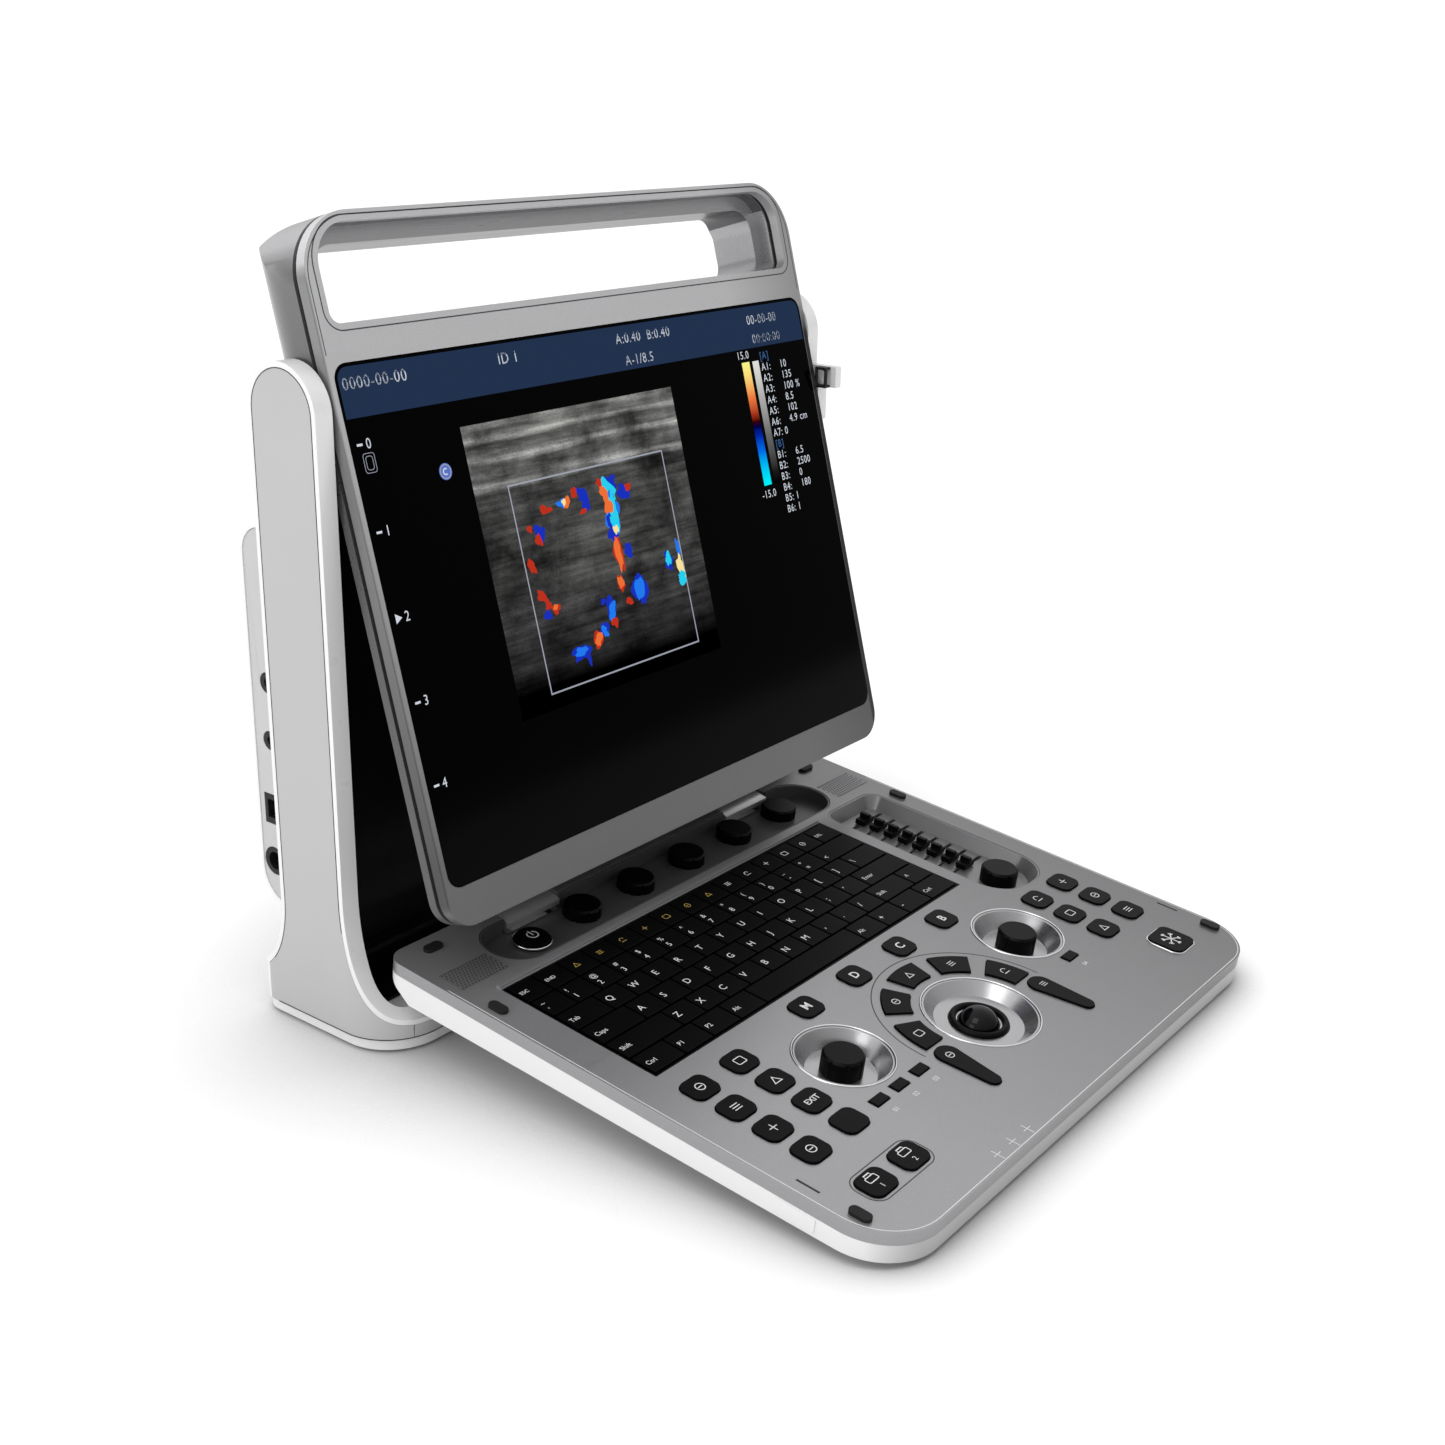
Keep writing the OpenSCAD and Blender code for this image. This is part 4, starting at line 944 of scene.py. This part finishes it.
def build_rings():
    """Chrome rings round the keys and dishes, and the trackball's black collar."""
    tube("power_ring", [ring(POWER, 8.9, -5.6)], 0.0007, LOOK["chrome"], "console")
    x, y, half = *FREEZE, 9.8
    tube("freeze_ring", [on_path(rounded(x - half, y - half, x + half, y + half, 5, 8), 0.0)],
         0.00045, LOOK["chrome"], "console")
    tube("dish_rings", [ring((-DIAL_X, DIAL_Y), 22.6, 0.0), ring((DIAL_X, DIAL_Y), 22.6, 0.0),
                        ring(BALL, 27.4, 0.0)], 0.0005, LOOK["chrome"], "console")
    tube("ball_ring", [ring(BALL, 12.2, -5.0)], 0.0018, LOOK["knob"], "console")


build_rings()

HOLE_COLUMNS, HOLE_ROWS = 15, 9
HOLE_PITCH_X, HOLE_PITCH_Y = 1.88, 1.63
HOLE_R = 0.6
HOLE_LIMIT_X = 157.4


def build_speaker_holes():
    """Small six-sided holes in staggered rows on both grilles."""
    verts, faces = [], []
    for side in (-1, 1):
        for i in range(HOLE_COLUMNS):
            for j in range(HOLE_ROWS):
                x = side * 130.2 + side * HOLE_PITCH_X * i + (HOLE_PITCH_X / 2 * side if j % 2 else 0)
                y = -20.1 - HOLE_PITCH_Y * j
                if abs(x) > HOLE_LIMIT_X:
                    continue
                a = len(verts)
                for k in range(6):
                    t = math.radians(60 * k + 30)
                    verts.append(console_flat(x + HOLE_R * math.cos(t), y + HOLE_R * math.sin(t), 0.03))
                faces.append([a + k for k in range(6)])
    make("speaker_holes", verts, faces, [LOOK["line"]], "console")


build_speaker_holes()

WING_X, WING_FRONT, WING_REAR, WING_HALF = 174.0, -44.75, 44.75, 18.3
FOOT_R = 28
FOOT_Z = 7.1


def wing_outline():
    """Side view of the cover in a wing: flared feet and a round top about the screen's pivot."""
    front = WING_FRONT + WING_HALF - PIVOT.y
    rear = WING_REAR - WING_HALF - PIVOT.y
    path = [(WING_FRONT - front * math.cos(math.radians(t)), 72 - 59 * math.sin(math.radians(t)))
            for t in range(90, -1, -5)]
    path += [(PIVOT.y - WING_HALF * math.cos(math.radians(t)),
              PIVOT.z + WING_HALF * math.sin(math.radians(t))) for t in range(0, 181, 6)]
    path += [(WING_REAR - rear * math.cos(math.radians(t)), 62 - 40 * math.sin(math.radians(t)))
             for t in range(0, 91, 5)]
    return path


def build_cover_lines():
    """Dark hairlines in the joints round the grey covers and along the foot."""
    path = [(y, z) for y, z in wing_outline() if -17 < y < 32]
    for name, x in (("cover_line_left", -WING_X), ("cover_line_right", WING_X)):
        tube(name, [[Vector((x, y, z)) * MM for y, z in path]], 0.00022, LOOK["line"],
             "base", closed=False, sides=6)
    cx, cy = WING_X - FOOT_R, -16.75
    foot = [(-WING_X, y) for y in (30, 10, -10, -16.7)]
    foot += [(-cx - FOOT_R * math.cos(math.radians(a)), cy - FOOT_R * math.sin(math.radians(a)))
             for a in range(5, 91, 5)]
    foot += [(cx + FOOT_R * math.sin(math.radians(a)), cy - FOOT_R * math.cos(math.radians(a)))
             for a in range(0, 91, 5)]
    foot += [(WING_X, y) for y in (-10, 10, 30)]
    tube("foot_line", [[Vector((x, y, FOOT_Z)) * MM for x, y in foot]], 0.00028, LOOK["line"],
         "base", closed=False, sides=6)


build_cover_lines()

# ---------------------------------------------------------------- stage

FLOOR_HALF = 80.0


def build_floor():
    """A plain pale floor that glows white, with a painted shadow: its glow fades where ambient occlusion
    finds the object close, so it darkens softly round the object's foot.
    """
    me = bpy.data.meshes.new("floor")
    h = FLOOR_HALF
    me.from_pydata([(-h, -h, 0), (h, -h, 0), (h, h, 0), (-h, h, 0)], [], [(0, 1, 2, 3)])
    floor = bpy.data.objects.new("floor", me)
    bpy.context.scene.collection.objects.link(floor)
    m = Nodes("floor", (0.5, 0.5, 0.5), 0.9, Specular_IOR_Level=0.0)
    # Painted shadow: the floor's glow is scaled by ambient occlusion round the object.
    ao = m.add("ShaderNodeAmbientOcclusion", samples=8)
    ao.inputs["Distance"].default_value = 0.16
    m.set("Emission Color", (1, 1, 1, 1))
    open_sky = m.ramp(ao.outputs["AO"], [(0.40, (0, 0, 0)), (0.99, (1, 1, 1))])
    m.vary("Emission Strength", open_sky, 0.0, 0.62)
    me.materials.append(m.mat)


def build_world():
    """White behind the object, and a soft gradient of light from above and from behind."""
    world = bpy.data.worlds.new("world")
    bpy.context.scene.world = world
    world.use_nodes = True
    t = Tree(world.node_tree)
    axes = t.axes("Generated")
    levels = [(0.0, 0.42), (0.2, 0.55), (0.42, 0.95), (1.0, 1.2)]
    sky = t.ramp(axes["Z"], [(position, (v, v, v)) for position, v in levels])
    sky = t.scale(sky, t.map_range(axes["Y"], -0.75, 0.55, 0.62, 1.12))
    mix = t.add("ShaderNodeMix", data_type="RGBA")
    t.link(t.add("ShaderNodeLightPath").outputs["Is Camera Ray"], mix.inputs["Factor"])
    t.link(sky, mix.inputs["A"])
    mix.inputs["B"].default_value = (1, 1, 1, 1)
    background = t.tree.nodes["Background"]
    t.link(mix.outputs["Result"], background.inputs["Color"])
    background.inputs["Strength"].default_value = 1.0


def area_light(name, place, target, size, power):
    data = bpy.data.lights.new(name, "AREA")
    data.energy = power
    data.shape = "RECTANGLE"
    data.size, data.size_y = size, size
    o = bpy.data.objects.new(name, data)
    o.location = place
    o.rotation_mode = "QUATERNION"
    o.rotation_quaternion = (Vector(target) - Vector(place)).to_track_quat("-Z", "Y")
    bpy.context.scene.collection.objects.link(o)


build_floor()
build_world()
area_light("key", (-1.5, -0.2, 2.6), (0, -0.1, 0.1), 1.4, 13)
area_light("side", (-2.4, 0.1, 1.0), (0, 0, 0.2), 1.2, 7)
bpy.context.scene.view_settings.view_transform = "Standard"
